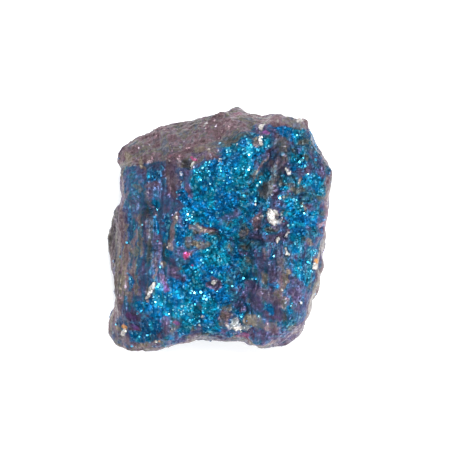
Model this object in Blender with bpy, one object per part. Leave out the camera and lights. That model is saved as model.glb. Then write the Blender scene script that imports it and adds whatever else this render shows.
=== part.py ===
"""A rough chunk of tarnished chalcopyrite, lying on its broadest side.

The chunk is one natural piece. It starts as a block with the chunk's outline, is cleaved by planes into its
fracture faces, and is then roughened: strokes press in the grooves and raise the ribs, and cells of a few
millimetres turn each face into small tilted facets. Last, its lowest points are pressed flat to rest on.

Lengths are in millimetres until the last step, which scales them to metres. +Z is up. The origin is on the
resting surface, under the middle of the chunk's box.
"""

import math
import random

import bmesh
import bpy
from mathutils import Euler, Matrix, Vector, noise

# Driving dimensions, in millimetres.
WIDTH = 31.4  # along X
LENGTH = 34.0  # along Y, the longest way across
HEIGHT = 18.6  # along Z, as it lies

STEP_SMOOTHING = 2  # rounds of relaxing that take the stair steps out of the skin
VOXEL = 0.99  # side of the small squares that the roughened skin is made of
REST_DEPTH = 0.55  # how far the lowest point is pressed in for the resting face
MM_TO_M = 0.001
GRID_TURN = Euler((0.62, 0.41, 0.55)).to_matrix().to_4x4()  # keeps the squares out of line with the faces

# The chunk's outline from above, anticlockwise from its top left corner.
OUTLINE = [
    (-15.4, 12.8),
    (-15.1, 10.6),
    (-14.2, 8.8),
    (-14.5, 6.8),
    (-13.4, 4.0),
    (-16.3, 2.2),
    (-16.8, -1.2),
    (-16.9, -3.0),
    (-15.8, -6.5),
    (-15.4, -9.6),
    (-16.2, -11.0),
    (-16.5, -13.4),
    (-16.0, -15.2),
    (-14.2, -17.2),
    (-11.3, -18.0),
    (-9.4, -17.0),
    (-6.3, -15.8),
    (-3.5, -15.1),
    (-0.7, -15.5),
    (2.0, -15.3),
    (4.2, -16.1),
    (6.9, -16.6),
    (9.1, -15.7),
    (10.4, -14.5),
    (11.6, -11.9),
    (12.9, -8.1),
    (13.5, -4.5),
    (14.1, -0.3),
    (14.2, 3.6),
    (16.0, 6.9),
    (16.2, 9.4),
    (13.1, 11.1),
    (12.5, 13.9),
    (12.1, 16.2),
    (9.8, 15.6),
    (7.0, 16.9),
    (4.1, 15.7),
    (2.6, 17.6),
    (1.1, 17.0),
    (-2.5, 17.0),
    (-6.2, 15.0),
    (-9.5, 14.4),
    (-12.3, 13.5),
]

# Fracture faces: a point on the face, the way it leans seen from above (0 is +X, 90 is +Y) and how far its
# outward normal leans from straight up, both in degrees. Past 90 the face looks down.
UPPER_FACES = {
    "crown": ((-2.0, 6.0, 18.3), 245, 11),
    "right_block": ((8.0, 5.0, 17.4), 350, 13),
    "back_slope": ((-3.5, 10.0, 17.8), 118, 52),
    "back_right_edge": ((8.0, 15.4, 16.2), 86, 58),
    "left_face": ((-5.8, 3.0, 17.5), 180, 29),
    "left_shelf": ((-14.9, -3.0, 12.6), 180, 70),
    "right_edge": ((14.4, 0.0, 15.2), 358, 60),
    "top_right_corner": ((12.4, 12.2, 15.8), 42, 38),
    "front_right": ((7.5, -9.0, 16.2), 292, 25),
    "front_right_corner": ((11.4, -12.6, 13.6), 322, 52),
    "front_edge": ((0.0, -15.4, 13.2), 271, 60),
    "front_left_foot": ((-13.4, -16.4, 12.6), 236, 60),
}
LOWER_FACES = {
    "under_left": ((-16.2, -3.0, 6.6), 179, 109),
    "under_right": ((15.0, 1.0, 8.0), 4, 103),
    "under_back": ((-4.0, 15.6, 7.4), 101, 114),
    "under_back_right": ((11.6, 14.4, 7.0), 58, 117),
    "under_front": ((0.0, -16.3, 6.6), 270, 107),
    "under_front_left": ((-16.0, -16.9, 5.6), 228, 115),
    "under_front_right": ((12.4, -13.0, 7.4), 318, 113),
    "under_back_left": ((-13.4, 12.4, 6.0), 139, 121),
    "belly_left": ((-8.0, 0.0, 0.8), 188, 170),
    "belly_back": ((2.0, 9.0, 0.8), 78, 164),
}

# Chips knocked off the block's upper and lower edges, all round: how many above and below, the flattest and
# steepest that they lean, and how deep they go.
CHIP_RINGS = ((16, 24, 66), (14, 112, 140))
CHIP_DEPTH = (0.35, 1.3)
CHIP_SEED = 7

# Strokes over the upper side: the path from above, half its width, and how far it lifts the skin.
STROKES = {
    "main_groove": ([(8.2, 13.0), (6.0, 6.2), (4.1, 1.0), (2.8, -3.0), (2.5, -7.5), (2.0, -12.5)], 1.5, -1.5),
    "groove_mouth": ([(2.4, -11.0), (1.0, -15.4)], 1.7, -0.9),
    "groove_lip": ([(5.6, 9.0), (3.4, 4.0)], 0.9, 0.55),
    "left_notch": ([(-15.0, 4.4), (-12.6, 3.4)], 1.3, -0.7),
    "left_rib": ([(-6.2, 6.0), (-6.6, 0.0), (-7.4, -5.5)], 0.9, 0.5),
    "left_hollow": ([(-9.0, 7.0), (-9.6, -6.0)], 1.5, -0.6),
    "outer_rib": ([(-12.2, 1.0), (-12.6, -8.5)], 0.9, 0.5),
    "crown_dip": ([(-2.8, 0.6), (-0.2, -0.4)], 1.3, -0.7),
    "foot_hollow": ([(-10.6, -9.2), (-8.6, -11.4)], 1.2, -0.6),
    "right_hollow": ([(8.8, -1.5), (8.4, -8.0)], 1.2, -0.8),
    "quartz_seat": ([(7.0, 2.2), (7.6, 1.8)], 0.9, -0.6),
}

# Roughness, large to small: (cell or wave size, height).
SWELL = (7.0, 0.4)
LARGE_FACETS = (4.8, 0.95)
SMALL_FACETS = (2.3, 0.42)
FACET_STEP = 0.2  # how much a cell stands up from its neighbours, as a share of its height
FACET_SHARPNESS = 14.0  # how quickly one facet gives way to the next
SPIKE_SOFTENING = 0.35  # how far each point moves towards its neighbours at the end
CELL_SHUFFLE = 31.7  # spreads the cells' tilts, so that neighbours differ


def leaning_normal(azimuth, lean):
    """The unit vector that leans from +Z by lean degrees, towards azimuth."""
    a, t = math.radians(azimuth), math.radians(lean)
    return Vector((math.sin(t) * math.cos(a), math.sin(t) * math.sin(a), math.cos(t)))


def cut_away(bm, point, normal):
    """Removes what is outside the plane and closes the cut with flat faces."""
    geometry = bm.verts[:] + bm.edges[:] + bm.faces[:]
    bmesh.ops.bisect_plane(bm, geom=geometry, plane_co=point, plane_no=normal, clear_outer=True)
    open_edges = [edge for edge in bm.edges if edge.is_boundary]
    bmesh.ops.holes_fill(bm, edges=open_edges, sides=0)


def cleaved_block():
    """The outline as a block, cleaved by every fracture face."""
    bm = bmesh.new()
    floor = bm.faces.new([bm.verts.new((x, y, 0.0)) for x, y in OUTLINE])
    raised = bmesh.ops.extrude_face_region(bm, geom=[floor])["geom"]
    lift = [item for item in raised if isinstance(item, bmesh.types.BMVert)]
    bmesh.ops.translate(bm, verts=lift, vec=(0.0, 0.0, 1.2 * HEIGHT))
    bmesh.ops.recalc_face_normals(bm, faces=bm.faces[:])
    for point, azimuth, lean in [*UPPER_FACES.values(), *LOWER_FACES.values()]:
        cut_away(bm, Vector(point), leaning_normal(azimuth, lean))
    bmesh.ops.recalc_face_normals(bm, faces=bm.faces[:])
    return bm


def knock_off_chips(bm):
    """Shaves the block all round with small planes, each a chip's depth below the furthest point its way."""
    chance = random.Random(CHIP_SEED)
    for count, flattest, steepest in CHIP_RINGS:
        for number in range(count):
            azimuth = 360.0 * (number + chance.uniform(-0.4, 0.4)) / count
            normal = leaning_normal(azimuth, chance.uniform(flattest, steepest))
            reach = max(vert.co.dot(normal) for vert in bm.verts)
            cut_away(bm, normal * (reach - chance.uniform(*CHIP_DEPTH)), normal)
    bmesh.ops.recalc_face_normals(bm, faces=bm.faces[:])
    return bm


def relax(skin, factor):
    """Moves every point towards the middle of its neighbours."""
    axes = {"use_axis_x": True, "use_axis_y": True, "use_axis_z": True}
    bmesh.ops.smooth_vert(skin, verts=skin.verts[:], factor=factor, **axes)


def even_skin(bm):
    """The same body with an even skin of small squares, as a new bmesh, its stair steps relaxed."""
    mesh = bpy.data.meshes.new("block")
    bm.transform(GRID_TURN)
    bm.to_mesh(mesh)
    bm.free()
    block = bpy.data.objects.new("block", mesh)
    bpy.context.scene.collection.objects.link(block)
    remesh = block.modifiers.new("even_skin", "REMESH")
    remesh.mode = "VOXEL"
    remesh.voxel_size = VOXEL
    evaluated = block.evaluated_get(bpy.context.evaluated_depsgraph_get())
    skin = bmesh.new()
    skin.from_mesh(evaluated.to_mesh())
    skin.transform(GRID_TURN.inverted())
    bpy.data.objects.remove(block)
    for _ in range(STEP_SMOOTHING):
        relax(skin, 0.5)
    return skin


def distance_to_path(point, path):
    """How far a point is from a path, seen from above."""
    best = math.inf
    for start, end in zip(path, path[1:]):
        a, b = Vector(start), Vector(end)
        along = max(0.0, min(1.0, (point.xy - a).dot(b - a) / (b - a).length_squared))
        best = min(best, (point.xy - a.lerp(b, along)).length)
    return best


def stroke_height(point):
    """How far the strokes lift or press the skin at a point of the upper side."""
    return sum(
        lift * math.exp(-((distance_to_path(point, path) / half_width) ** 2))
        for path, half_width, lift in STROKES.values()
    )


def facet_height(point, size, height):
    """A patchwork of small planes: each cell has its own tilt and step, and short slopes join them."""
    distances, centres = noise.voronoi(point / size)
    total, weights = 0.0, 0.0
    for distance, centre in zip(distances, centres):
        tilt = noise.cell_vector(centre * CELL_SHUFFLE) * 2.0 - Vector((1.0, 1.0, 1.0))
        weight = math.exp(-FACET_SHARPNESS * (distance - distances[0]))
        total += weight * (tilt.dot(point / size - centre) + FACET_STEP * tilt.x)
        weights += weight
    return height * total / weights


def roughen(skin):
    """Moves each point along its normal by the strokes and the three scales of roughness."""
    skin.normal_update()
    moves = {}
    for vert in skin.verts:
        p, n = vert.co.copy(), vert.normal.copy()
        swell_size, swell_height = SWELL
        height = swell_height * noise.noise(p / swell_size)
        height += facet_height(p, *LARGE_FACETS) + facet_height(p, *SMALL_FACETS)
        upward = max(0.0, n.z)
        moves[vert] = n * height + Vector((0.0, 0.0, stroke_height(p) * upward))
    for vert, move in moves.items():
        vert.co += move
    relax(skin, SPIKE_SOFTENING)


def flatten_base(skin):
    """Presses the lowest points up to one level, which makes the flat that the chunk rests on."""
    level = min(vert.co.z for vert in skin.verts) + REST_DEPTH
    for vert in skin.verts:
        vert.co.z = max(vert.co.z, level)


def fit_to_size(skin):
    """Scales the chunk to its driving dimensions in metres and puts the origin under its middle."""
    corners = [[pick(v.co[axis] for v in skin.verts) for axis in range(3)] for pick in (min, max)]
    low, high = Vector(corners[0]), Vector(corners[1])
    size = high - low
    middle = Vector(((low.x + high.x) / 2, (low.y + high.y) / 2, low.z))
    scale = Matrix.Diagonal((WIDTH / size.x, LENGTH / size.y, HEIGHT / size.z, 1.0))
    skin.transform(Matrix.Scale(MM_TO_M, 4) @ scale @ Matrix.Translation(-middle))


def tarnished_ore():
    """Blue tarnish on a dull metallic ore."""
    material = bpy.data.materials.new("tarnished_ore")
    material.use_nodes = True
    shader = material.node_tree.nodes["Principled BSDF"]
    shader.inputs["Base Color"].default_value = (0.035, 0.14, 0.28, 1.0)
    shader.inputs["Metallic"].default_value = 0.6
    shader.inputs["Roughness"].default_value = 0.45
    return material


def main():
    for obj in list(bpy.data.objects):
        bpy.data.objects.remove(obj)
    skin = even_skin(knock_off_chips(cleaved_block()))
    roughen(skin)
    flatten_base(skin)
    bmesh.ops.triangulate(skin, faces=skin.faces[:])
    fit_to_size(skin)
    mesh = bpy.data.meshes.new("chalcopyrite_chunk")
    skin.to_mesh(mesh)
    skin.free()
    mesh.materials.append(tarnished_ore())
    chunk = bpy.data.objects.new("chalcopyrite_chunk", mesh)
    bpy.context.scene.collection.objects.link(chunk)


main()
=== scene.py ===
# %% [markdown]
# # A rough chunk of tarnished chalcopyrite
# The stone is one natural piece: a broken block of metallic ore whose skin has tarnished to blue, violet
# and brown, with tiny sparkling crystals grown over much of it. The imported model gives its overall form.
# This lesson adds everything finer: small fracture facets and fibres, the map of tarnish, crystals, and
# crumbs of quartz.

import itertools
import math

import bmesh
import bpy
import numpy as np
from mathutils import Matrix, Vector


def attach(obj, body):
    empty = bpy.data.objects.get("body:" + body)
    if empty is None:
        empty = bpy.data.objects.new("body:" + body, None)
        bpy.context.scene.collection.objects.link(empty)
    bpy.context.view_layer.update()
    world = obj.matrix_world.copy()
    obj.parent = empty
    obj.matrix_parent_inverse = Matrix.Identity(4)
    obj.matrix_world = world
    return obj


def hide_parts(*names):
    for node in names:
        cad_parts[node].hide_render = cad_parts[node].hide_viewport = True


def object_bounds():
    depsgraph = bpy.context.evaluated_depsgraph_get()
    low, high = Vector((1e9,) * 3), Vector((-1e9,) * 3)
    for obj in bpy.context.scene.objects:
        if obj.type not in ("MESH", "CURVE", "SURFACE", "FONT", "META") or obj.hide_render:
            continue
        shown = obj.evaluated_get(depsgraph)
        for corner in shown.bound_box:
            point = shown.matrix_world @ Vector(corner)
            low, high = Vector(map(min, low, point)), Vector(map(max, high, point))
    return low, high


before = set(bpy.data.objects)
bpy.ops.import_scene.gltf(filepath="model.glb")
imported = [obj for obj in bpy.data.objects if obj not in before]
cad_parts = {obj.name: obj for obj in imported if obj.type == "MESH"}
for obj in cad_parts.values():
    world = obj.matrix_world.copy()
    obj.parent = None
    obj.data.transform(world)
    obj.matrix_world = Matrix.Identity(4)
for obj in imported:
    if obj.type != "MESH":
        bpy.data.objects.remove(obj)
cad_low, cad_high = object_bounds()
MM = 0.001  # lengths are worked out in millimetres and stored in metres
block_low, block_high = np.array(cad_low) / MM, np.array(cad_high) / MM
print("block, mm:", (block_high - block_low).round(2))

# %% [markdown]
# ## A fine skin
# Broken ore shows facets down to a fraction of a millimetre. One way to get them is to subdivide the coarse
# block, but its long and short triangles would show through. A voxel remesh gives an even skin instead,
# whose points can then be moved freely. The block's own mesh is loose triangles, so a copy is merged first.

# %% Remesh a copy of the block
NODE = "chalcopyrite_chunk"
SKIN_STEP = 0.205  # the skin's squares; finer ones would pass 200,000 triangles
MERGE_WITHIN = 0.001


def put(name, data):
    """A new object in the scene."""
    thing = bpy.data.objects.new(name, data)
    bpy.context.scene.collection.objects.link(thing)
    return thing


def plain_mesh(thing):
    """The object's mesh with its modifiers worked in; the object itself is removed."""
    depsgraph = bpy.context.evaluated_depsgraph_get()
    mesh = bpy.data.meshes.new_from_object(thing.evaluated_get(depsgraph))
    bpy.data.objects.remove(thing)
    return mesh


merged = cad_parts[NODE].data.copy()
merged.materials.clear()
bm = bmesh.new()
bm.from_mesh(merged)
bmesh.ops.remove_doubles(bm, verts=bm.verts[:], dist=MERGE_WITHIN * MM)
bm.to_mesh(merged)
bm.free()
block = put("block", merged)
remesh = block.modifiers.new("fine skin", "REMESH")
remesh.mode = "VOXEL"
remesh.voxel_size = SKIN_STEP * MM
ore_mesh = plain_mesh(block)
ore_mesh.name = "ore"
print("fine skin:", len(ore_mesh.vertices), "points,", len(ore_mesh.polygons), "squares")

# %% [markdown]
# ## The skin as numbers
# Nearly a hundred thousand points are too many to move one by one in Python. They are read into numpy
# arrays, worked on all at once and written back. The remesh leaves stair steps on slopes, which a few
# rounds of relaxing take out: every point moves halfway to the middle of its neighbours.

# %% Read and relax its points
RELAX_ROUNDS = 9


def read_vectors(items, key):
    """One row of three numbers for each of a mesh's items."""
    flat = np.empty(len(items) * 3, np.float32)
    items.foreach_get(key, flat)
    return flat.reshape(-1, 3).astype(float)


def write_points(mesh, points):
    mesh.vertices.foreach_set("co", (points * MM).astype(np.float32).ravel())
    mesh.update()


def neighbour_mean(values, edges, rounds, share=0.5):
    """Values at the points, each moved by share towards the mean of its neighbours', so many times over."""
    count = np.bincount(edges.ravel(), minlength=len(values))[:, None]
    values = values.reshape(len(values), -1)
    for _ in range(rounds):
        total = np.zeros_like(values)
        for column in range(values.shape[1]):
            total[:, column] = np.bincount(
                edges.ravel(), weights=values[edges[:, ::-1].ravel(), column], minlength=len(values)
            )
        values = values + share * (total / count - values)
    return values


edges = np.empty(len(ore_mesh.edges) * 2, np.int32)
ore_mesh.edges.foreach_get("vertices", edges)
edges = edges.reshape(-1, 2)
points = neighbour_mean(read_vectors(ore_mesh.vertices, "co") / MM, edges, RELAX_ROUNDS)
write_points(ore_mesh, points)
print("relaxed box, mm:", points.min(0).round(2), points.max(0).round(2))

# %% [markdown]
# ## Noise to shape and to stain with
# Blender's texture nodes can displace a mesh, but the same patterns are wanted twice, for the shape and for
# the tarnish map. Two small numpy functions make them: soft noise, and facets, a patchwork of cells that
# each tilt their own way, as small fracture faces do. A third, ease, turns any number into a soft-edged
# mask.


# %% Repeatable noise
def lattice(cells, seed):
    """A repeatable random number from 0 to 1 for every whole-numbered cell."""
    x, y, z = cells[..., 0], cells[..., 1], cells[..., 2]
    mixed = (x * 374761393 + y * 668265263 + z * 1440662683 + seed * 362437) & 0xFFFFFFFF
    mixed = ((mixed ^ (mixed >> 13)) * 1274126177) & 0xFFFFFFFF
    mixed = ((mixed ^ (mixed >> 15)) * 1103515245) & 0xFFFFFFFF
    return ((mixed ^ (mixed >> 16)) & 0xFFFFFF) / float(0xFFFFFF)


def soft_noise(points, size, seed, octaves=1):
    """Smooth noise from 0 to 1 whose bumps are size across; size may differ along X, Y and Z."""
    total, weight, reach = 0.0, 1.0, 0.0
    for octave in range(octaves):
        scaled = points * 2.0**octave / np.asarray(size, float)
        cell = np.floor(scaled).astype(np.int64)
        part = scaled - cell
        part = part * part * (3.0 - 2.0 * part)
        value = 0.0
        for corner in itertools.product((0, 1), repeat=3):
            share = np.prod(np.where(corner, part, 1.0 - part), axis=1)
            value = value + share * lattice(cell + corner, seed + 17 * octave)
        total, reach, weight = total + weight * value, reach + weight, weight * 0.55
    return total / reach


def facets(points, size, seed, sharpness=14.0, step=0.3):
    """Heights of a patchwork of tilted cells, about -1 to 1; size may differ along X, Y and Z."""
    scaled = points / np.asarray(size, float)
    home = np.floor(scaled).astype(np.int64)
    distances, heights = [], []
    for offset in itertools.product((-1, 0, 1), repeat=3):
        cell = home + offset
        away = scaled - cell - np.stack([lattice(cell, seed + k) for k in range(3)], axis=1)
        tilt = np.stack([lattice(cell, seed + 3 + k) for k in range(3)], axis=1) * 2.0 - 1.0
        distances.append(np.linalg.norm(away, axis=1))
        heights.append((tilt * away).sum(1) + step * tilt[:, 0])
    distances, heights = np.array(distances), np.array(heights)
    weights = np.exp(-sharpness * (distances - distances.min(0)))
    return (weights * heights).sum(0) / weights.sum(0)


def ease(start, end, value):
    """0 until value reaches start, 1 from end on and a smooth step between them; start may be the larger."""
    t = np.clip((value - start) / (end - start), 0.0, 1.0)
    return t * t * (3.0 - 2.0 * t)


sample = soft_noise(points[:1000], 1.0, 1)
print("soft noise runs from", sample.min().round(2), "to", sample.max().round(2))

# %% [markdown]
# ## The map of the upper side
# Each patch of tarnish on the upper side has a name, a strength and an outline, seen from above
# in millimetres. An image could hold the map, but outlines keep it editable and sharp at any size. A
# point's place is shifted by soft noise before it is looked up, which gives the patches ragged, natural
# borders.

# %% Patches by outline
BLUE_PATCHES = {
    "heart": (1.0, [
        (-4.3, 7.9), (-3.4, 8.4), (-2.8, 9.2), (-1.4, 9.5), (-0.4, 9.4), (0.2, 10.2), (0.2, 10.9),
        (1.4, 11.1), (2.1, 12.0), (3.2, 12.3), (4.2, 12.2), (4.6, 11.4), (5.8, 11.2), (6.3, 10.6),
        (4.9, 10.0), (4.7, 8.2), (4.2, 7.3), (3.3, 6.4), (2.9, 5.0), (3.6, 4.2), (4.4, 3.4), (4.5, 1.6),
        (3.4, 1.0), (2.6, 1.6), (2.6, 3.2), (1.4, 2.4), (0.4, 1.4), (-0.8, 1.0), (-1.4, 0.6), (-2.6, 1.6),
        (-3.4, 0.9), (-5.2, 1.0), (-5.5, 2.4), (-4.4, 3.4), (-3.9, 4.4), (-3.7, 6.4),
    ]),
    "heart_corner": (1.0, [
        (4.6, 13.2), (4.6, 13.6), (5.6, 13.2), (6.6, 13.3), (7.0, 12.4), (6.6, 11.2), (5.9, 11.6),
    ]),
    "left_islet": (1.0, [(-6.1, 5.8), (-4.7, 5.8), (-4.1, 4.8), (-4.6, 3.8), (-6.0, 4.0)]),
    "left_shore": (0.9, [(-6.0, 0.4), (-4.4, 0.5), (-4.3, -0.9), (-5.0, -1.4), (-5.3, -2.4), (-5.9, -2.4)]),
    "left_pool": (0.72, [(-10.2, 8.2), (-9.0, 8.6), (-7.8, 8.4), (-7.7, 6.9), (-8.6, 6.6), (-10.1, 6.7)]),
    "left_bank": (0.12, [(-12.0, 8.0), (-10.4, 7.4), (-8.2, 5.4), (-8.0, 3.6), (-9.4, 3.0), (-10.6, 4.0)]),
    "waist": (0.75, [
        (-3.4, -0.4), (-1.2, -0.4), (0.4, 0.3), (0.6, 1.0), (2.2, 0.8), (2.2, -0.6), (1.4, -1.2),
        (0.9, -2.0), (-1.2, -2.2), (-2.2, -1.6), (-3.2, -1.4),
    ]),
    "foot": (1.0, [
        (-3.4, -2.9), (-1.4, -2.5), (0.4, -1.9), (1.3, -1.6), (1.3, -4.6), (0.9, -5.6), (1.2, -7.6),
        (1.6, -9.2), (0.9, -10.2), (-0.2, -11.6), (-0.6, -13.0), (0.2, -13.6), (0.0, -14.6), (-2.2, -14.6),
        (-3.4, -13.7), (-4.4, -14.6), (-5.6, -15.0), (-5.8, -13.8), (-5.2, -12.8), (-6.8, -12.4),
        (-8.4, -12.4), (-10.2, -11.6), (-11.6, -11.2), (-11.6, -9.8), (-10.4, -10.0), (-9.3, -9.4),
        (-9.0, -7.6), (-8.2, -7.6), (-7.2, -8.0), (-7.0, -6.0), (-5.2, -5.4), (-3.9, -4.2),
    ]),
    "near_corner": (0.9, [
        (-12.8, -12.4), (-11.6, -11.8), (-10.0, -12.0), (-8.5, -12.6), (-8.2, -13.8), (-9.2, -15.2),
        (-10.0, -16.0), (-11.6, -16.1), (-13.2, -15.4), (-12.6, -14.4), (-12.9, -13.4),
    ]),
    "near_strip": (0.6, [(-8.0, -14.4), (-6.0, -14.8), (-6.2, -15.6), (-8.2, -15.6)]),
    "shadow_side": (0.52, [
        (1.4, -1.4), (3.0, -1.0), (5.6, -2.0), (5.4, -4.6), (4.8, -7.6), (3.0, -8.0), (2.0, -9.0),
        (1.2, -6.0),
    ]),
    "far_corner": (1.0, [
        (6.4, 14.0), (7.0, 14.6), (8.2, 14.6), (9.8, 13.9), (11.8, 13.9), (11.6, 12.9), (10.6, 12.2),
        (9.6, 12.4), (8.6, 13.2), (7.6, 13.6),
    ]),
    "right_upper": (0.75, [
        (9.6, 10.6), (10.6, 10.2), (11.4, 11.3), (11.9, 10.8), (11.5, 9.3), (11.2, 8.5), (9.5, 9.0),
    ]),
    "right_dot": (0.85, [(8.2, 7.8), (9.1, 7.8), (9.4, 6.6), (8.4, 6.4)]),
    "right_drop": (0.5, [(8.4, 6.4), (10.0, 6.0), (9.6, 5.2), (8.2, 5.4)]),
    "right_shoulder": (1.0, [
        (11.3, 7.9), (12.2, 7.8), (13.4, 7.1), (14.7, 6.9), (15.0, 5.8), (14.6, 4.8), (13.4, 5.1),
        (12.5, 5.8), (11.5, 5.7), (11.4, 6.8),
    ]),
    "right_green": (0.52, [(10.8, 5.2), (12.4, 5.2), (13.4, 4.6), (12.4, 4.0), (11.2, 4.4)]),
    "right_bay": (1.0, [
        (9.1, 4.1), (10.4, 4.4), (11.0, 3.4), (12.2, 2.9), (13.3, 2.9), (13.7, 1.6), (13.6, 0.0),
        (12.6, 0.4), (11.9, -0.6), (11.3, -2.0), (11.6, -3.2), (10.4, -3.6), (9.9, -2.6), (9.6, -1.2),
        (9.4, 0.2), (9.6, 1.4), (8.9, 2.8),
    ]),
    "right_edge": (0.85, [(12.5, -0.2), (13.6, 0.2), (13.5, -1.0), (12.8, -1.2)]),
    "right_low_edge": (0.9, [(12.4, -2.2), (13.6, -2.3), (13.6, -3.6), (12.6, -3.8)]),
    "right_lower": (1.0, [
        (9.8, -4.2), (11.4, -4.0), (12.6, -3.8), (13.1, -5.6), (12.6, -6.9), (11.9, -8.2), (11.4, -7.4),
        (10.6, -7.0), (9.9, -6.0),
    ]),
    "near_navy": (0.85, [(6.0, -10.0), (7.2, -10.3), (8.1, -10.9), (7.8, -11.7), (6.5, -11.8), (6.0, -11.0)]),
    "near_teal": (0.8, [(8.4, -13.3), (9.4, -12.8), (9.9, -13.1), (9.4, -13.9), (8.5, -13.9)]),
}
TOP_BAND = [
    (-16.0, 10.0), (-15.0, 14.0), (-8.7, 16.9), (-0.7, 19.0), (5.9, 18.0), (12.2, 18.0), (12.2, 15.0),
    (9.4, 15.0), (7.0, 14.8), (5.0, 14.4), (3.6, 13.4), (1.5, 12.8), (0.5, 11.7), (-0.8, 10.7), (-1.7, 10.2),
    (-3.4, 10.2), (-5.0, 9.3), (-7.6, 9.3), (-10.0, 9.2), (-13.0, 8.8),
]
LEFT_SHELF = [
    (-14.2, 5.1), (-17.7, 1.1), (-18.0, -2.2), (-17.4, -6.4), (-17.1, -10.2), (-16.8, -13.0), (-13.8, -12.0),
    (-13.2, -7.1), (-13.2, -2.9), (-13.0, 0.6), (-13.4, 3.9),
]


def inside(xy, outline, soft):
    """1 within the outline and 0 outside it, over a border of soft millimetres."""
    corners = np.array(outline)
    nearest, crossings = np.full(len(xy), np.inf), np.zeros(len(xy), int)
    for a, b in zip(corners, np.roll(corners, -1, axis=0)):
        along = np.clip(((xy - a) @ (b - a)) / ((b - a) @ (b - a)), 0.0, 1.0)
        nearest = np.minimum(nearest, np.linalg.norm(xy - a - along[:, None] * (b - a), axis=1))
        spans = (a[1] > xy[:, 1]) != (b[1] > xy[:, 1])
        meets = a[0] + (xy[:, 1] - a[1]) / (b[1] - a[1] + 1e-12) * (b[0] - a[0])
        crossings += spans & (xy[:, 0] < meets)
    signed = np.where(crossings % 2 == 1, nearest, -nearest)
    return ease(-soft, soft, signed)


print("blue patches:", len(BLUE_PATCHES))

# %% [markdown]
# ## Streaks
# Smaller marks are strokes: a path, half its width and a strength from 0 to 1. One form serves for a
# streak, a spot (a path of one point), a ridge or a groove, so all of them share one lookup. Here are the
# blue, violet and earth-brown streaks that run between and across the patches.

# %% Streaks of tarnish
BLUE_STREAKS = {
    "lip": ([(6.9, 7.9), (5.9, 7.0), (4.9, 6.1), (4.7, 5.2)], 0.6, 1.0),
    "lip_green": ([(6.2, 7.4), (5.6, 6.2)], 0.5, 0.7),
    "lip_dot": ([(4.8, 4.2), (4.9, 2.4)], 0.5, 0.9),
    "shore_right": ([(1.2, -0.2), (1.8, 0.6), (2.3, -0.8)], 0.7, 1.0),
    "belt_side": ([(-2.0, 1.3), (0.2, 0.9)], 0.8, 1.0),
    "far_row": ([(8.2, 13.4), (9.8, 12.7)], 0.6, 0.9),
    "groove_teal": ([(5.6, 4.0), (6.8, 3.0)], 0.6, 0.5),
    "thread": ([(-8.8, 1.4), (-8.5, -0.6)], 0.4, 0.75),
    "thread_2": ([(-7.4, 1.8), (-7.1, 0.2)], 0.4, 0.8),
    "thread_3": ([(-9.2, 4.2), (-8.6, 3.3)], 0.5, 0.7),
    "column_dot": ([(-11.8, 7.9)], 0.4, 0.8),
    "column_low": ([(-11.6, 0.4), (-12.2, 1.6)], 0.5, 0.5),
    "shelf_drop": ([(-12.5, -6.4), (-12.4, -7.6)], 0.42, 0.95),
    "low_teal": ([(-7.0, -3.3), (-6.2, -3.6)], 0.45, 0.75),
    "slot": ([(7.4, -2.4), (7.1, -4.0)], 0.3, 0.8),
    "plunge": ([(2.4, -1.4), (2.4, -3.8)], 0.4, 0.9),
    "low_pair": ([(4.2, -6.8), (5.0, -7.2)], 0.45, 0.8),
    "bark_pool": ([(7.0, -7.6), (8.0, -7.8)], 0.4, 0.5),
    "right_thread": ([(9.7, -9.6), (9.6, -11.4)], 0.3, 0.6),
    "right_foot": ([(12.4, -8.4)], 0.3, 0.5),
    "near_pair": ([(2.2, -11.4), (3.2, -11.9)], 0.5, 0.75),
    "near_wash": ([(4.6, -14.6), (9.6, -14.8)], 0.6, 0.5),
    "far_green": ([(12.2, 12.4), (13.0, 11.8)], 0.4, 0.5),
    "groove_low": ([(4.4, 2.0), (4.6, 0.8)], 0.6, 0.8),
    "right_upper_low": ([(11.6, 8.8), (10.2, 8.5)], 0.5, 0.8),
    "rib_side": ([(-7.8, 0.2), (-7.6, -1.2)], 0.45, 0.6),
    "heart_low": ([(4.2, 2.4), (4.4, 0.4)], 0.7, 0.8),
    "far_right": ([(12.4, 13.2), (14.4, 9.8)], 0.6, 0.5),
}
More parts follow.
